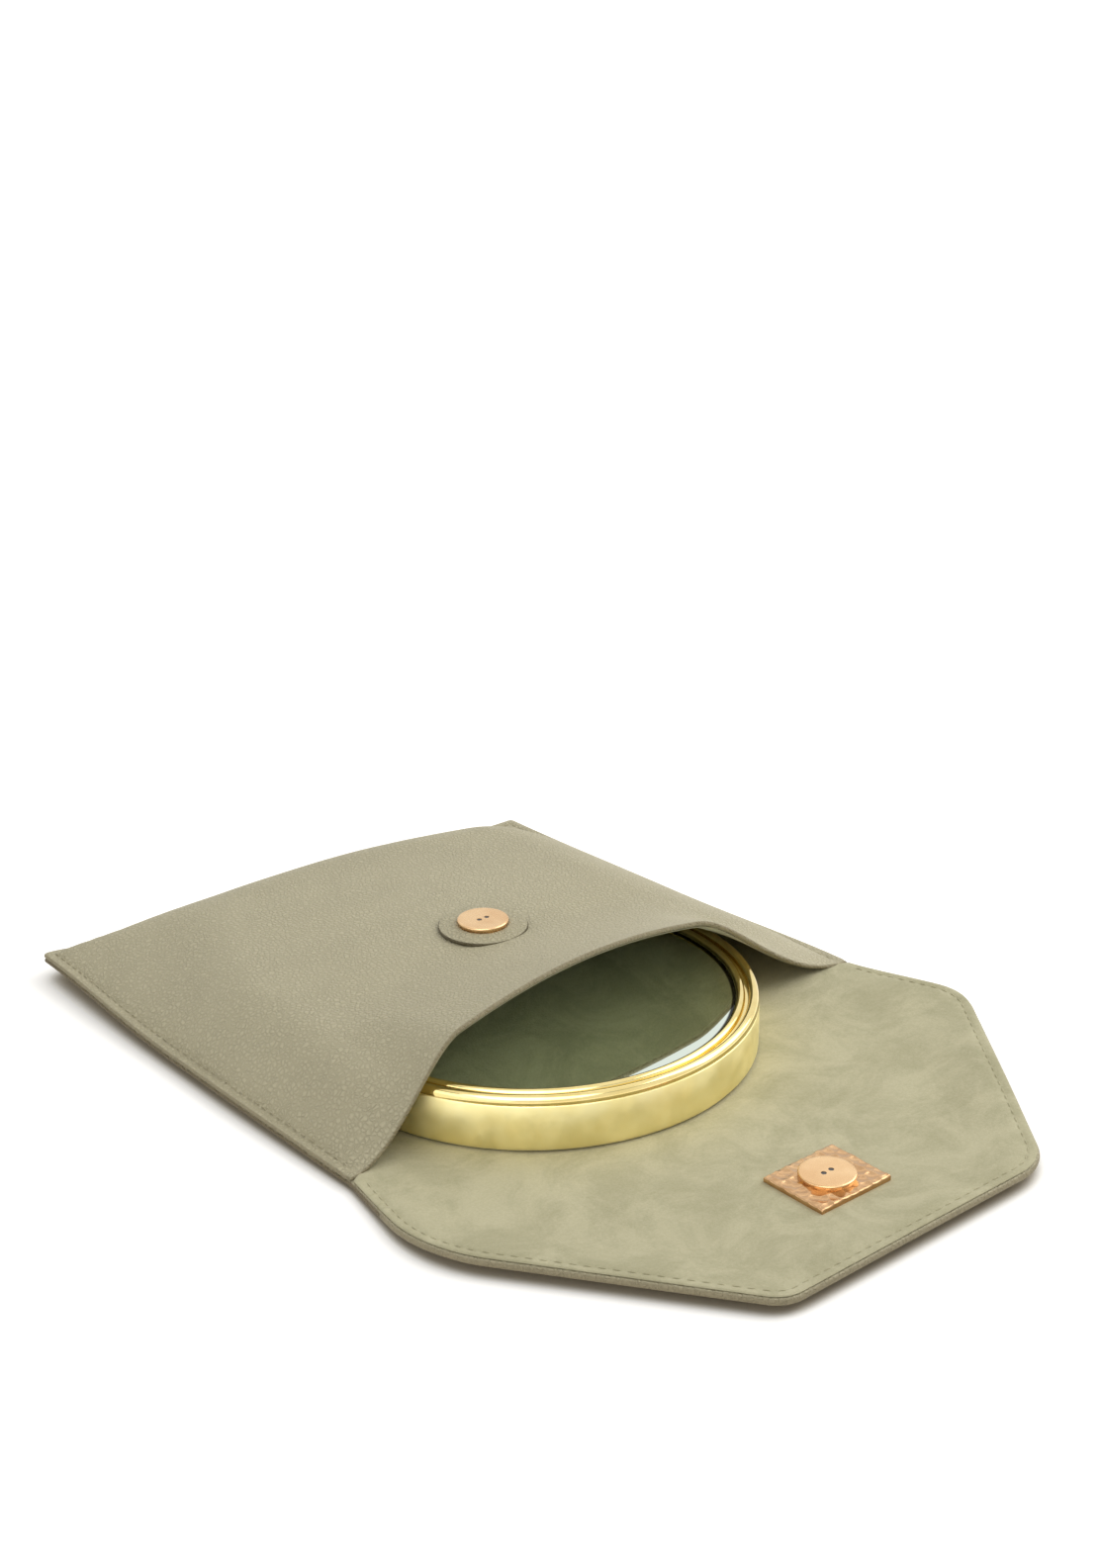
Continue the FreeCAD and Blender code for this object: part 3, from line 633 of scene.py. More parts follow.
def front_height(x, y):
    """Height of the front leather's outer face."""
    left_rise = SIDE_RISES[0] + FAR_SIDE_EASE * smooth((y - FAR_SIDE_FROM) / FAR_SIDE_FROM)
    left = np.maximum((x + SIDE_FOOT) / left_rise, 1e-6)
    right = pillow((SIDE_FOOT - x) / SIDE_RISES[1])
    across = pillow(left) * right
    end_rise = END_RISE + END_EASE * np.clip((x - MIRROR_X) / END_EASE_REACH, 0.0, 1.0) ** 2
    end = np.maximum((END_FOOT - y) / end_rise, 1e-6)
    hip = (left ** -HIP_POWER + end ** -HIP_POWER) ** (-1.0 / HIP_POWER)
    body = BODY_HEIGHT * pillow(hip) * right
    from_snap = np.hypot(x / DOME_REACH[0], (y - FRONT_SNAP_Y + DOME_SHIFT) / DOME_REACH[1])
    body = body + SNAP_DOME * smooth(DOME_SPREAD - from_snap) * across
    from_mouth = y - mouth_edge(x)
    lip = np.clip(1.0 - from_mouth / LIP_REACH, 0.0, 1.0) ** LIP_POWER
    flank = np.clip(1.0 - from_mouth / FLANK_REACH, 0.0, 1.0) ** FLANK_POWER
    stand = mouth_arch(x) - BODY_HEIGHT * across
    body = body + np.maximum(stand, 0.0) * lip + np.minimum(stand, 0.0) * flank
    return SEAM_TOP + corner_lift(x, y) + body


def front_layer(x, y, depth, thickness, d, edge_round):
    """Upper and lower face of one layer of the front panel, a depth under its outer face."""
    z = front_height(x, y) - groove(seam_distance(x, y))
    reach = 0.4
    slope_x = (front_height(x + reach, y) - front_height(x - reach, y)) / (2 * reach)
    slope_y = (front_height(x, y + reach) - front_height(x, y - reach)) / (2 * reach)
    normal = np.stack([-slope_x, -slope_y, np.ones_like(x)], axis=1)
    normal /= np.linalg.norm(normal, axis=1)[:, None]
    half = (thickness / 2 * bulge(d, edge_round))[:, None]
    middle = np.stack([x, y, z], axis=1) - normal * (depth + thickness / 2)
    return middle + normal * half, middle - normal * half


# Materials


def colour(red, green, blue):
    """A colour given as it looks on screen, from 0 to 255."""
    linear = []
    for part in (red, green, blue):
        share = part / 255.0
        linear.append(share / 12.92 if share <= 0.04045 else ((share + 0.055) / 1.055) ** 2.4)
    return (*linear, 1.0)


def new_material(name):
    material = bpy.data.materials.new(name)
    material.use_nodes = True
    tree = material.node_tree
    return material, tree, tree.nodes["Principled BSDF"]


def feed(tree, made, inputs):
    """Set a node's inputs, to values or to the outputs of other nodes."""
    for key, value in inputs.items():
        if isinstance(value, bpy.types.NodeSocket):
            tree.links.new(value, made.inputs[key])
        else:
            made.inputs[key].default_value = value


def node(tree, kind, inputs=None, **settings):
    """A new node with its settings and its inputs."""
    made = tree.nodes.new(kind)
    for key, value in settings.items():
        setattr(made, key, value)
    feed(tree, made, inputs or {})
    return made


def millimetres(tree, stretch=(1.0, 1.0, 1.0), turn=0.0):
    """Object coordinates in millimetres."""
    coordinates = node(tree, "ShaderNodeTexCoord")
    scale = tuple(1000.0 * part for part in stretch)
    mapping = node(tree, "ShaderNodeMapping", {
        "Vector": coordinates.outputs["Object"], "Scale": scale, "Rotation": (0.0, 0.0, turn),
    })
    return mapping.outputs["Vector"]


def noise(tree, place, scale, detail=2.0, roughness=0.5, distortion=0.0):
    made = node(tree, "ShaderNodeTexNoise", {
        "Vector": place, "Scale": scale, "Detail": detail, "Roughness": roughness, "Distortion": distortion,
    })
    return made.outputs["Fac"]


def spread(tree, value, low, high, to_low=0.0, to_high=1.0):
    """A value stretched from one range to another, held at its ends."""
    made = node(tree, "ShaderNodeMapRange", {
        "Value": value, "From Min": low, "From Max": high, "To Min": to_low, "To Max": to_high,
    }, interpolation_type="SMOOTHSTEP")
    return made.outputs["Result"]


def maths(tree, operation, a, b):
    made = node(tree, "ShaderNodeMath", {0: a, 1: b}, operation=operation)
    return made.outputs[0]


def vectors(tree, operation, a, b):
    return node(tree, "ShaderNodeVectorMath", {0: a, 1: b}, operation=operation)


def mixed(tree, share, a, b):
    """Colour a where share is 0 and b where it is 1."""
    made = node(tree, "ShaderNodeMix", {0: share, 6: a, 7: b}, data_type="RGBA")
    return made.outputs[2]


def bump(tree, shader, height, depth):
    made = node(tree, "ShaderNodeBump", {"Height": height, "Distance": depth * MM, "Strength": 1.0})
    feed(tree, shader, {"Normal": made.outputs["Normal"]})


def leather(name, light, dark, painted):
    """Pebbled leather: rounded grains with darker creases, partly the grain's own tone and partly painted
    shade, slow changes of tone, and a cut edge in its edge colour, which is edge paint and, where a caller
    darkens it, painted shade.
    """
    material, tree, shader = new_material(name)
    place = millimetres(tree)
    wander = node(tree, "ShaderNodeTexNoise", {"Vector": place, "Scale": 0.5, "Detail": 2.0})
    shift = vectors(tree, "MULTIPLY", wander.outputs["Color"], (1.5, 1.5, 1.5)).outputs[0]
    warped = vectors(tree, "ADD", place, shift).outputs[0]
    cells = node(tree, "ShaderNodeTexVoronoi", {"Vector": warped, "Scale": 0.8, "Randomness": 0.95},
                 feature="DISTANCE_TO_EDGE")
    grains = spread(tree, cells.outputs["Distance"], 0.0, 0.3)
    pores = noise(tree, place, scale=3.2, detail=3.0, roughness=0.6)
    height = maths(tree, "ADD", grains, maths(tree, "MULTIPLY", pores, 0.45))
    slow = noise(tree, place, scale=0.022, detail=4.0, roughness=0.55)
    hide = spread(tree, noise(tree, place, scale=0.05), 0.3, 0.7, 0.75, 1.0)
    # Tone is darker in the creases between the grains: partly the grain's own tone, partly painted shade.
    tone = maths(tree, "ADD", maths(tree, "MULTIPLY", grains, 0.55), maths(tree, "MULTIPLY", slow, 0.6))
    base = mixed(tree, tone, dark, light)
    edge = node(tree, "ShaderNodeAttribute", attribute_name="edge_distance").outputs["Fac"]
    # Near the cut edge the colour turns to the edge colour: edge paint, with painted shade in it where a
    # caller makes it darker.
    base = mixed(tree, spread(tree, edge, 0.15, 0.55, 1.0, 0.0), base, painted)
    uneven = spread(tree, pores, 0.3, 0.7, 0.5, 0.62)
    feed(tree, shader, {"Base Color": base, "Roughness": uneven, "Specular IOR Level": 0.35})
    bump(tree, shader, maths(tree, "MULTIPLY", height, hide), 0.24)
    return material


def suede(name, light, dark):
    """Suede: clouded nap with faint brush strokes and a soft sheen."""
    material, tree, shader = new_material(name)
    place = millimetres(tree)
    clouds = noise(tree, place, scale=0.05, detail=6.0, roughness=0.72, distortion=0.7)
    clouds = spread(tree, clouds, 0.36, 0.64)
    brushed = millimetres(tree, stretch=(0.06, 0.32, 0.2), turn=0.5)
    strokes = noise(tree, brushed, scale=1.0, detail=3.0, roughness=0.6, distortion=0.6)
    fibre = noise(tree, place, scale=1.5, detail=5.0, roughness=0.78)
    tone = maths(tree, "ADD", maths(tree, "MULTIPLY", clouds, 0.46), maths(tree, "MULTIPLY", strokes, 0.28))
    tone = maths(tree, "ADD", tone, maths(tree, "MULTIPLY", spread(tree, fibre, 0.25, 0.75), 0.36))
    feed(tree, shader, {
        "Base Color": mixed(tree, tone, dark, light), "Roughness": 0.92, "Specular IOR Level": 0.15,
        "Sheen Weight": 0.12, "Sheen Roughness": 0.45,
    })
    bump(tree, shader, fibre, 0.16)
    return material


def thread(name, light, dark):
    """Twisted sewing thread."""
    material, tree, shader = new_material(name)
    twist = node(tree, "ShaderNodeTexWave", {
        "Vector": millimetres(tree), "Scale": 1.6, "Distortion": 1.5, "Detail": 1.0,
    }, bands_direction="DIAGONAL")
    feed(tree, shader, {"Base Color": mixed(tree, twist.outputs["Fac"], dark, light), "Roughness": 0.65})
    bump(tree, shader, twist.outputs["Fac"], 0.05)
    return material


def metal(name, light, dark, rough, grain, depth):
    """Metal with a faintly uneven finish."""
    material, tree, shader = new_material(name)
    place = millimetres(tree)
    cast = noise(tree, place, scale=0.12, detail=3.0, roughness=0.55)
    fine = noise(tree, place, scale=grain, detail=3.0, roughness=0.6)
    base = mixed(tree, spread(tree, cast, 0.3, 0.7), dark, light)
    uneven = spread(tree, fine, 0.25, 0.75, rough * 0.85, rough * 1.2)
    feed(tree, shader, {"Base Color": base, "Roughness": uneven, "Metallic": 1.0})
    bump(tree, shader, fine, depth)
    return material


def looking_glass(name, tint, border):
    """Silvered glass with a dark ring at its border: partly the edge of its silvering, partly painted shade
    for the dark gap and the shadowed inner side of the bezel seen in it.
    """
    material, tree, shader = new_material(name)
    middle = (MIRROR_X, MIRROR_Y + MOUTH_Y, 0.0)
    flat = vectors(tree, "MULTIPLY", millimetres(tree), (1.0, 1.0, 0.0))
    away = vectors(tree, "DISTANCE", flat.outputs[0], middle)
    share = spread(tree, away.outputs["Value"], *GLASS_BORDER)
    haze = noise(tree, millimetres(tree), scale=0.08, detail=3.0)
    uneven = spread(tree, haze, 0.3, 0.7, 0.006, 0.016)
    feed(tree, shader, {"Base Color": mixed(tree, share, tint, border), "Roughness": uneven, "Metallic": 1.0})
    return material


def matter(name, light, dark, grain, depth, rough):
    """Board, foam or iron: matte and speckled."""
    material, tree, shader = new_material(name)
    fleck = noise(tree, millimetres(tree), scale=grain, detail=4.0, roughness=0.65)
    base = mixed(tree, spread(tree, fleck, 0.3, 0.7), dark, light)
    uneven = spread(tree, fleck, 0.3, 0.7, rough * 0.9, min(rough * 1.1, 1.0))
    feed(tree, shader, {"Base Color": base, "Roughness": uneven})
    bump(tree, shader, fleck, depth)
    return material


SAGE = (colour(186, 178, 148), colour(162, 154, 126))
LEATHER = leather("pebbled_leather", *SAGE, colour(146, 136, 108))
# The back's cut edge is darker than the flap's edge paint: painted shade for the dark line under the lifted
# left seam.
BACK_LEATHER_SHADED_EDGE = leather("back_leather", *SAGE, colour(112, 100, 74))
# The washer's leather is a little darker than the panel's, and its rim very dark: painted shade for the dark
# outline round the raised washer, over its edge paint.
WASHER_LEATHER_SHADED_RIM = leather("washer_leather", colour(180, 172, 142), colour(156, 148, 120), colour(92, 84, 60))
SUEDE = suede("suede_lining", colour(194, 188, 156), colour(158, 153, 121))
# The front lining is a darker copy of the suede: painted shade for the dim inside of the pouch, seen in the
# mirror.
FRONT_SUEDE_PAINTED_SHADE = suede("front_suede_lining", colour(170, 164, 134), colour(134, 129, 101))
THREAD = thread("sewing_thread", colour(192, 184, 152), colour(164, 156, 124))
# The satin brass is paler and brighter than the bead's polished brass: painted light that brightens the ring
# wall and the mirror's base.
SATIN_BRASS_PAINTED_LIGHT = metal(
    "satin_brass", colour(255, 244, 188), colour(250, 236, 172),
    rough=0.48, grain=0.2, depth=0.0008,
)
POLISHED_BRASS = metal(
    "polished_brass", colour(242, 222, 156), colour(234, 210, 138),
    rough=0.08, grain=0.3, depth=0.0004,
)
ROSE_GOLD = metal(
    "rose_gold", colour(229, 194, 148), colour(217, 177, 130),
    rough=0.26, grain=0.7, depth=0.002,
)
# The plate's rose gold is a darker copy of the caps': painted shade that dims the plate's reflections.
HAMMERED_SHADED = metal(
    "hammered_rose_gold", colour(204, 168, 126), colour(192, 152, 110),
    rough=0.2, grain=0.7, depth=0.002,
)
# The glass's dark border colour is partly painted shade for the dark gap at the bezel.
MIRROR_GLASS = looking_glass("silvered_glass", colour(222, 232, 220), colour(22, 24, 20))
STEEL = metal(
    "plain_steel", colour(178, 178, 180), colour(150, 150, 153),
    rough=0.4, grain=2.0, depth=0.01,
)
IRON = matter(
    "magnet_iron", colour(74, 74, 76), colour(52, 52, 54),
    grain=2.0, depth=0.02, rough=0.6,
)
FOAM = matter(
    "foam_pad", colour(52, 52, 52), colour(36, 36, 36),
    grain=3.0, depth=0.1, rough=0.9,
)
FIBREBOARD = matter(
    "fibreboard", colour(166, 138, 104), colour(140, 114, 84),
    grain=1.2, depth=0.06, rough=0.8,
)


def dress(piece, slot, *materials):
    """Give a piece its materials; slot is not used."""
    piece.data.materials.clear()
    for material in materials:
        piece.data.materials.append(material)


# Back, fold and flap


def cut_loop(whole, side):
    """The back's and the flap's share of a sheet's edge, cut along the split."""
    whole = np.roll(whole, -np.argmax(whole[:, 0] + whole[:, 1]), axis=0)
    edge_x = side - flare(0.0) + flare(SPLIT_Y)
    cut = np.linspace(-edge_x, edge_x, SPLIT_POINTS)
    line = np.stack([cut, np.full_like(cut, SPLIT_Y)], axis=1)
    clear = np.abs(whole[:, 1] - SPLIT_Y) > SPLIT_CLEARANCE
    high = clear & (whole[:, 1] > SPLIT_Y)
    first_low = np.argmax(whole[:, 1] < SPLIT_Y)
    left = whole[:first_low][high[:first_low]]
    right = whole[first_low:][high[first_low:]]
    flap = whole[clear & (whole[:, 1] < SPLIT_Y)]
    return np.concatenate([left, line, right]), np.concatenate([flap, line[::-1]])


def flap_stitch_path(whole):
    """The seam line round the flap, from one mouth corner to the other."""
    line = ring(np.roll(whole, -np.argmax(whole[:, 0] + whole[:, 1]), axis=0), STITCH_INSET)
    return divided(line[line[:, 1] < -STITCH_START], 1.0, closed=False)


def pouch_stitch_path():
    """The seam line up one side of the pouch, along its closed end and down the other."""
    side = HALF_WIDTH - STITCH_INSET
    end = POUCH_LENGTH - STITCH_INSET
    return np.array([(-side, SEAM_START), (-side, end), (side, end), (side, SEAM_START)])


def leather_shell(loop, whole):
    """One piece of the flat leather."""
    plan, faces = filled(loop, whole, LEATHER_ROWS, SHEET_SPACING)
    d = edge_distance(plan, whole)
    x, y = plan.T
    low = groove(d)
    high = leather_top(x, y)
    half = (high - low) / 2 * bulge(d, LEATHER_ROUND)
    middle = sheet_lift(x, y, d) + (low + high) / 2
    top = np.column_stack([plan, middle + half])
    bottom = np.column_stack([plan, middle - half])
    return shell(top, bottom, faces, d < ON_EDGE)


def lining_shell(loop, edge, whole):
    """One piece of the flat lining."""
    plan, faces = filled(loop, edge, LINING_ROWS, SHEET_SPACING)
    d = edge_distance(plan, whole)
    x, y = plan.T
    drawn = groove(d) * smooth(-y / GROOVE_FADE)
    loose = ripple(x, y) * smooth((RIPPLE_FROM - y) / RIPPLE_FADE) * smooth((d - RIPPLE_INSET) / RIPPLE_FADE)
    low = LINING_LOW - drawn
    high = SHEET_TOP - drawn + loose - ring_trace(x, y)
    from_edge = edge_distance(plan, edge)
    half = (high - low) / 2 * bulge(from_edge, LINING_ROUND)
    middle = sheet_lift(x, y, d) + (low + high) / 2
    top = np.column_stack([plan, middle + half])
    bottom = np.column_stack([plan, middle - half])
    return shell(top, bottom, faces, from_edge < ON_EDGE)


def make_sheets():
    """Leather and lining of the back, the fold and the flap, in two pieces each."""
    whole = rounded_loop(leather_corners(), EDGE_STEP)
    lined = rounded_loop(lining_corners(), EDGE_STEP)
    leather_loops = dict(zip(("back", "flap"), cut_loop(whole, HALF_WIDTH)))
    lining_loops = dict(zip(("back", "flap"), cut_loop(lined, HALF_WIDTH - LINING_INSET)))
    middles, ahead = stitch_places(flap_stitch_path(whole), STITCH_PITCH)
    seam_middles, seam_ahead = stitch_places(pouch_stitch_path(), STITCH_PITCH)

    def over(x, y):
        d = edge_distance(np.stack([x, y], axis=1), whole)
        return sheet_lift(x, y, d) + SHEET_TOP - groove(d) * smooth(-y / GROOVE_FADE)

    def under(x, y):
        d = edge_distance(np.stack([x, y], axis=1), whole)
        return sheet_lift(x, y, d) + groove(d)

    made = {}
    for part in ("back", "flap"):
        mine = middles[:, 1] > SPLIT_Y if part == "back" else middles[:, 1] <= SPLIT_Y
        upper = stitch_mesh(middles[mine], ahead[mine], over, 1.0)
        lower = stitch_mesh(middles[mine], ahead[mine], under, -1.0)
        points, faces = leather_shell(leather_loops[part], whole)
        parts = [(points, faces, 0), (*lower, 1)]
        if part == "back":
            parts.append((*stitch_mesh(seam_middles, seam_ahead, under, -1.0), 1))
        points, faces, marks = joined(parts)
        outer, used = new_object(f"{part}_outer_leather", pulled(points), faces, marks)
        keep_values(outer, "edge_distance", edge_distance(points[used, :2], whole))
        dress(outer, "outer_leather", BACK_LEATHER_SHADED_EDGE if part == "back" else LEATHER, THREAD)
        points, faces = lining_shell(lining_loops[part], lined, whole)
        points, faces, marks = joined([(points, faces, 0), (*upper, 1)])
        inner, _ = new_object(f"{part}_suede_lining", pulled(points), faces, marks)
        dress(inner, "suede_lining", SUEDE, THREAD)
        made[part] = (outer, inner)
    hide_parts("back_leather", "back_board")
    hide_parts("back_lining")
    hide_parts("flap_leather", "flap_board", "fold_leather")
    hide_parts("flap_lining", "fold_lining", "fold_wadding")
    for piece in made["back"]:
        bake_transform(piece)
    for piece in made["flap"]:
        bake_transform(piece)


# Front panel


def front_loop(border, start):
    """The front panel in plan, a border short of the seams and of its mouth edge."""
    side = HALF_WIDTH - border
    across = np.linspace(-side, side, MOUTH_POINTS)
    mouth = np.stack([across, mouth_edge(across) + start], axis=1)
    ends = rounded_loop([
        (side, 0.0, 0), (side, POUCH_LENGTH - border, END_ROUND),
        (-side, POUCH_LENGTH - border, END_ROUND), (-side, 0.0, 0),
    ], EDGE_STEP)
    return np.concatenate([mouth, ends[ends[:, 1] > mouth[0, 1] + MOUTH_CLEARANCE]])


def make_front():
    """Outer leather and lining of the arched front."""
    loop = front_loop(0.0, 0.0)
    plan, faces = filled(loop, loop, FRONT_ROWS, FRONT_SPACING)
    d = edge_distance(plan, loop)
    x, y = plan.T
    top, bottom = front_layer(x, y, 0.0, FRONT_LEATHER, d, FRONT_ROUND)
    points, solid = shell(top, bottom, faces, d < ON_EDGE)

    def over(sx, sy):
        return front_height(sx, sy) - groove(seam_distance(sx, sy))

    middles, ahead = stitch_places(pouch_stitch_path(), STITCH_PITCH)
    parts = [(points, solid, 0), (*stitch_mesh(middles, ahead, over, 1.0), 1)]
    points, solid, marks = joined(parts)
    outer, used = new_object("front_outer_leather", pulled(points), solid, marks)
    keep_values(outer, "edge_distance", edge_distance(points[used, :2], loop))
    dress(outer, "outer_leather", LEATHER, THREAD)
    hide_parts("front_leather", "front_board")

    loop = front_loop(LINING_SEAM, FRONT_LINING_INSET)
    plan, faces = filled(loop, loop, FRONT_LINING_ROWS, SHEET_SPACING)
    d = edge_distance(plan, loop)
    x, y = plan.T
    top, bottom = front_layer(x, y, FRONT_LEATHER + LAYER_GAP, FRONT_LINING, d, FRONT_LINING_ROUND)
    floor = SHEET_TOP + corner_lift(x, y) + FRONT_LINING_CLEARANCE
    bottom[:, 2] = np.maximum(bottom[:, 2], floor)
    top[:, 2] = np.maximum(top[:, 2], bottom[:, 2])
    points, solid = shell(top, bottom, faces, d < ON_EDGE)
    inner, _ = new_object("front_suede_lining", pulled(points), solid)
    dress(inner, "suede_lining", FRONT_SUEDE_PAINTED_SHADE)
    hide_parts("front_lining")
    for piece in (outer, inner):
        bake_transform(piece)


# Mirror


def bead(middle, half, high, valley_side):
    """Points over one rounded bead, inwards; valley_side is 1 where the valley lies outside it, or -1."""
    points = []
    steps = 24
    for i in range(steps + 1):
        turn = math.pi * i / steps
        reach = math.copysign(abs(math.cos(turn)) ** (2 / BEAD_POWER), math.cos(turn))
        z = BEAD_FOOT + (high - BEAD_FOOT) * math.sin(turn) ** (2 / BEAD_POWER)
        if half * reach * valley_side > 0:
            z = max(z, BEAD_VALLEY)
        points.append((middle + half * reach, z))
    return points


def make_mirror():
    """Ring wall and double bead."""
    middle = (MIRROR_X, MIRROR_Y, MIRROR_Z)
    wall = [
        (57.2, 0.5), (58.15, 0.5), (58.32, 0.55), (58.44, 0.66), (RING_RADIUS, 0.85), (RING_RADIUS, 6.5),
        (RING_RADIUS, 12.0), (58.42, 12.16), (58.2, 12.3), (57.9, 12.42), (57.2, 12.45),
    ]
    rim = lathe("ring_wall", wall, RING_SEGMENTS, middle)
    dress(rim, "satin_brass", SATIN_BRASS_PAINTED_LIGHT)
    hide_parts("mirror_rim")
    profile = bead(*OUTER_BEAD, -1) + [BEAD_GROOVE] + bead(*INNER_BEAD, 1)
    lip = lathe("ring_double_bead", profile, RING_SEGMENTS, middle)
    dress(lip, "polished_brass", POLISHED_BRASS)
    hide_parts("mirror_bezel")
    for piece in (rim, lip):
        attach(piece, "mirror")


# Snap


def make_washer():
    """Leather washer, pressed up round the front half of the snap."""
    edge = [
        (0.02, 0.0), (11.6, 0.0), (11.95, 0.08), (12.17, 0.27), (WASHER_RADIUS, 0.55), (12.2, 0.85),
        (12.0, 1.08), (11.6, 1.18), (11.0, 1.23), (10.2, 1.3), (9.3, 1.42), (8.4, 1.55), (7.6, 1.63),
        (7.1, 1.65), (6.7, 1.2), (3.0, 1.2), (0.02, 1.2),
    ]
    # The dark edge colour reaches from the washer's foot up its rim to its upper edge: painted shade for the
    # dark outline round it.
    face_from = 1.1
    from_edge = [WASHER_RADIUS - r if z < face_from else WASHER_RADIUS for r, z in edge]
    washer = lathe("leather_washer", edge, WASHER_SEGMENTS, (0.0, FRONT_SNAP_Y, WASHER_Z))
    keep_values(washer, "edge_distance", np.tile(from_edge, WASHER_SEGMENTS))
    dress(washer, "outer_leather", WASHER_LEATHER_SHADED_RIM)
    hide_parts("snap_washer")
    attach(washer, "pouch")


def make_plate():
    """Hammered plate under the flap's half of the snap."""
    wide, tall = PLATE_SIZE
    dents = np.random.default_rng(11)
    columns = np.arange(-wide / 2 - DENT_PITCH, wide / 2 + DENT_PITCH, DENT_PITCH)
    rows = np.arange(-tall / 2 - DENT_PITCH, tall / 2 + DENT_PITCH, DENT_PITCH)
    centres = np.array([(a, b) for a in columns for b in rows])
    centres += dents.uniform(-DENT_SHIFT, DENT_SHIFT, centres.shape)
    depths = dents.uniform(*DENT_DEPTHS, len(centres))
    xs = np.linspace(-wide / 2, wide / 2, PLATE_GRID[0])
    ys = np.linspace(-tall / 2, tall / 2, PLATE_GRID[1])
    grid = np.array([(a, b) for b in ys for a in xs])
    away = ((grid[:, None, :] - centres[None, :, :]) ** 2).sum(axis=2)
    relief = np.minimum(DENT_BOWL * away + depths[None, :], DENT_LIMIT).min(axis=1)
    border = np.minimum(wide / 2 - np.abs(grid[:, 0]), tall / 2 - np.abs(grid[:, 1]))
    high = SHEET_TOP + PLATE_THICKNESS + relief - PLATE_EDGE_DROP * (1.0 - bulge(border, PLATE_ROUND))
    faces = grid_faces(len(ys), len(xs))
    place = grid + np.array([0.0, FLAP_SNAP_Y])
    top = np.column_stack([place, high])
    bottom = np.column_stack([place, np.full(len(place), SHEET_TOP + PLATE_GAP)])
    points, solid = shell(top, bottom, faces, np.zeros(len(place), bool))
    plate, _ = new_object("hammered_plate", points, solid)
    dress(plate, "rose_gold", HAMMERED_SHADED)
    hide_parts("flap_plate")
    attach(plate, "flap")


def circle(radius, count, middle=(0.0, 0.0)):
    """Points round a circle, counter-clockwise."""
    turns = np.linspace(0.0, 2.0 * math.pi, count, endpoint=False)
    return np.stack([middle[0] + radius * np.cos(turns), middle[1] + radius * np.sin(turns)], axis=1)


def make_button(name, node_name, body):
    """Cap of one half of the snap: a round shoulder, and two small dimples in its face, whose faces wear dark
    iron as a painted shade for small holes.
    """
    box = np.array(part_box(node_name)) / MM
    place = np.array([0.0, box[:, 1].mean() - MOUTH_Y, box[0, 2]])
    loop = circle(CAP_RADIUS, CAP_SEGMENTS)
    marks = [(-MARK_OFFSET, 0.0), (MARK_OFFSET, 0.0)]
    fine = [circle(MARK_RADIUS * share, MARK_SEGMENTS, mark) for mark in marks for share in MARK_ROWS]
    plan, faces = filled(loop, loop, CAP_ROWS, CAP_SPACING, fine)
    rise = bulge(CAP_RADIUS - np.hypot(*plan.T), CAP_SHOULDER)
    high = CAP_HEIGHT - CAP_SHOULDER * (1.0 - rise)
    for mark in marks:
        away = np.hypot(*(plan - mark).T)
        high -= MARK_DEPTH * smooth((MARK_RADIUS - away) / (MARK_SLOPE * MARK_RADIUS))
    top = np.column_stack([plan, high]) + place
    bottom = np.column_stack([plan * CAP_FOOT, np.zeros(len(plan))]) + place
    points, solid = shell(top, bottom, faces, np.zeros(len(plan), bool))
    middles = np.array([plan[face].mean(axis=0) for face in faces])
    # The faces inside the two dimples take the dark iron finish: painted shade for the depth of small holes.
    dark = np.zeros(len(solid), np.int32)
    for mark in marks:
        dark[:len(faces)] |= np.hypot(*(middles - mark).T) < MARK_RADIUS * 0.95
    button, _ = new_object(name, points, solid, dark)
    dress(button, "rose_gold", ROSE_GOLD, IRON)
    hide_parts(node_name)
    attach(button, body)


def dress_nodes():
    """Materials of the pieces that keep their own solids."""
    finishes = {
        "front_snap_magnet": IRON, "flap_snap_magnet": IRON,
        "front_snap_prongs": STEEL, "flap_snap_prongs": STEEL,
        "front_snap_backplate": STEEL, "flap_snap_backplate": STEEL,
        "mirror_glass": MIRROR_GLASS, "mirror_pad": FOAM,
        "mirror_core": FIBREBOARD, "mirror_base": SATIN_BRASS_PAINTED_LIGHT,
    }
    for name, material in finishes.items():
        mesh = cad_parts[name].data
        mesh.materials.clear()
        mesh.materials.append(material)


# Studio


def straight_rays(tree):
    """1 for rays that show the surroundings without a reflection."""
    path = node(tree, "ShaderNodeLightPath")
    return maths(tree, "MAXIMUM", path.outputs["Is Camera Ray"], path.outputs["Is Transmission Ray"])


def shown_rays(tree):
    """1 for rays that show the surroundings, straight to the camera or in metal and glass."""
    path = node(tree, "ShaderNodeLightPath")
    return maths(tree, "MAXIMUM", straight_rays(tree), path.outputs["Is Glossy Ray"])


def make_world():
    """White surroundings, which metal sees with a dimmer sky and one bright card above the camera."""
    world = bpy.data.worlds.new("studio")
    world.use_nodes = True
    tree = world.node_tree
    background = tree.nodes["Background"]
    toward = node(tree, "ShaderNodeTexCoord").outputs["Generated"]
    upward = vectors(tree, "DOT_PRODUCT", toward, (0.0, 0.0, 1.0)).outputs["Value"]
    sky = spread(tree, upward, 0.55, 0.8, 1.0, HIGH_SKY)
    facing = vectors(tree, "DOT_PRODUCT", toward, CARD_TOWARD).outputs["Value"]
    seen = maths(tree, "MAXIMUM", sky, spread(tree, facing, *CARD_EDGE, 0.0, CARD_LEVEL))
    glossy = node(tree, "ShaderNodeLightPath").outputs["Is Glossy Ray"]
    level = maths(tree, "MAXIMUM", maths(tree, "MULTIPLY", seen, glossy), WORLD_LEVEL)
    level = maths(tree, "MAXIMUM", level, straight_rays(tree))
    feed(tree, background, {"Color": (1.0, 1.0, 1.0, 1.0), "Strength": level})
    bpy.context.scene.world = world


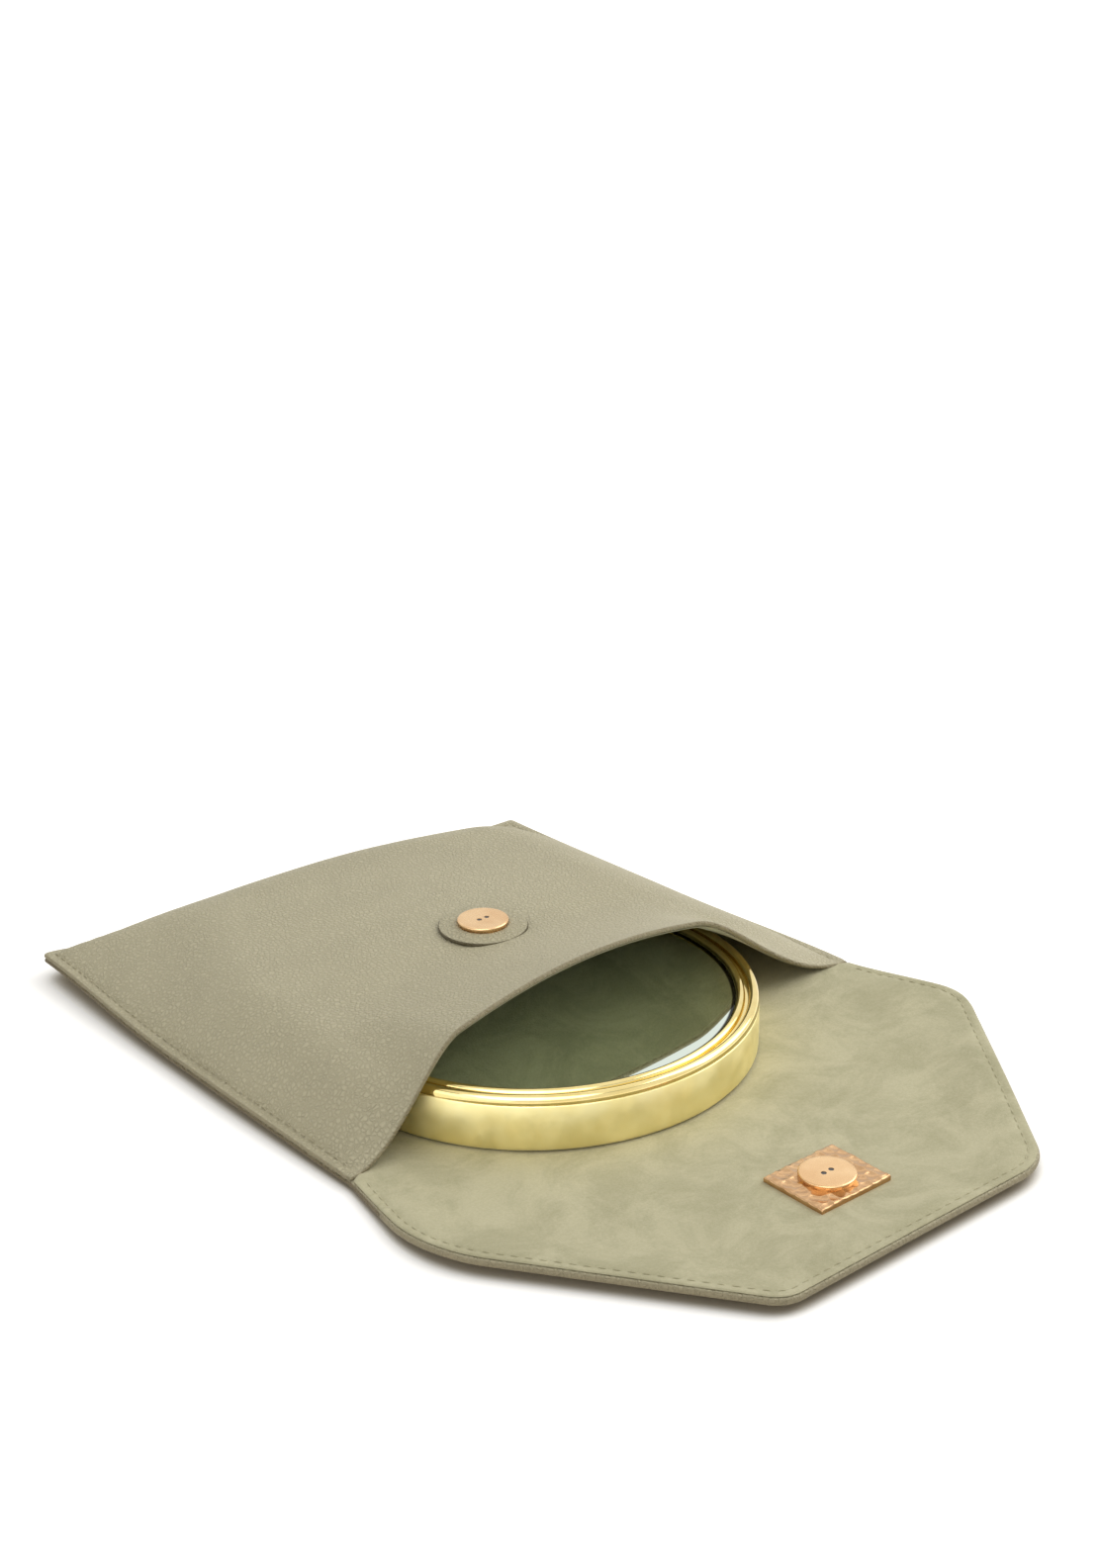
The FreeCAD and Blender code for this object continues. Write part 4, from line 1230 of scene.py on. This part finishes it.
def make_floor():
    """White floor that keeps the object's real shadow, adds a painted brown contact shadow to its colour and
    dims its glow near the object as painted shade, and fades into the white surroundings.
    """
    mesh = bpy.data.meshes.new("floor")
    signs = ((-1, -1), (1, -1), (1, 1), (-1, 1))
    mesh.from_pydata([(a * FLOOR_HALF, b * FLOOR_HALF, 0.0) for a, b in signs], [], [(0, 1, 2, 3)])
    floor = bpy.data.objects.new("floor", mesh)
    bpy.context.collection.objects.link(floor)
    floor.location.z = -FLOOR_DROP
    paper = bpy.data.materials.new("floor_paper")
    paper.use_nodes = True
    tree = paper.node_tree
    tree.nodes.clear()
    place = node(tree, "ShaderNodeTexCoord").outputs["Object"]
    away = vectors(tree, "LENGTH", place, place).outputs["Value"]
    contact = node(tree, "ShaderNodeAmbientOcclusion", {"Distance": CONTACT_REACH}, samples=16)
    open_floor = contact.outputs["AO"]
    # Near the object the paper's colour turns brown by occlusion: a painted contact shadow.
    paper_with_painted_shadow = mixed(tree, spread(tree, open_floor, 0.2, 0.7), PAINTED_CONTACT_SHADOW, PAPER_COLOUR)
    diffuse = node(tree, "ShaderNodeBsdfDiffuse", {"Color": paper_with_painted_shadow})
    fade = spread(tree, away, 0.2, 0.8, 0.3, 0.6)
    # The glow that makes the floor white also dims by occlusion near the object: painted shade.
    level = maths(tree, "MULTIPLY", spread(tree, open_floor, 0.35, 1.0), fade)
    glow = maths(tree, "MULTIPLY", level, shown_rays(tree))
    light = node(tree, "ShaderNodeEmission", {"Strength": glow})
    both = node(tree, "ShaderNodeAddShader", {0: diffuse.outputs[0], 1: light.outputs[0]})
    node(tree, "ShaderNodeOutputMaterial", {"Surface": both.outputs[0]})
    mesh.materials.append(paper)


def lamp(name, kind, place, target):
    """A lamp that points from its place at a target."""
    light = bpy.data.lights.new(name, kind)
    holder = bpy.data.objects.new(name, light)
    holder.location = place
    holder.rotation_euler = (Vector(target) - Vector(place)).to_track_quat("-Z", "Y").to_euler()
    bpy.context.collection.objects.link(holder)
    return light


def make_lights():
    """A broad soft light overhead, a nearer one from the right, and a low fill from the left."""
    overhead = lamp("overhead_light", "SUN", OVERHEAD_PLACE, (0.0, 0.0, 0.0))
    overhead.energy = OVERHEAD_LEVEL
    overhead.angle = OVERHEAD_SPREAD
    side = lamp("side_light", "AREA", SIDE_PLACE, SIDE_TARGET)
    side.energy = SIDE_POWER
    side.size = SIDE_SIZE
    fill = lamp("fill_light", "AREA", FILL_PLACE, FILL_TARGET)
    fill.energy = FILL_POWER
    fill.shape = "RECTANGLE"
    fill.size, fill.size_y = FILL_SIZE


def make_camera():
    """The photograph's view: 1110 by 1585, from the flap's left, a little above the table."""
    yaw = Matrix.Rotation(-CAMERA_YAW, 4, "Z")
    pitch = Matrix.Rotation(math.pi / 2 - CAMERA_PITCH, 4, "X")
    roll = Matrix.Rotation(CAMERA_ROLL, 4, "Z")
    lens = bpy.data.cameras.new("camera")
    lens.sensor_fit = "AUTO"
    lens.sensor_width = SENSOR
    lens.lens = FOCAL_PIXELS / PHOTO_HEIGHT * SENSOR
    holder = bpy.data.objects.new("camera", lens)
    holder.matrix_world = Matrix.Translation(CAMERA_PLACE) @ yaw @ pitch @ roll
    bpy.context.collection.objects.link(holder)
    bpy.context.scene.camera = holder


make_camera()
make_world()
make_floor()
make_lights()
make_sheets()
make_front()
make_mirror()
make_washer()
make_plate()
make_button("front_snap_button", "front_snap_cap", "pouch")
make_button("flap_snap_button", "flap_snap_cap", "flap")
dress_nodes()
bpy.context.scene.view_settings.view_transform = "Standard"
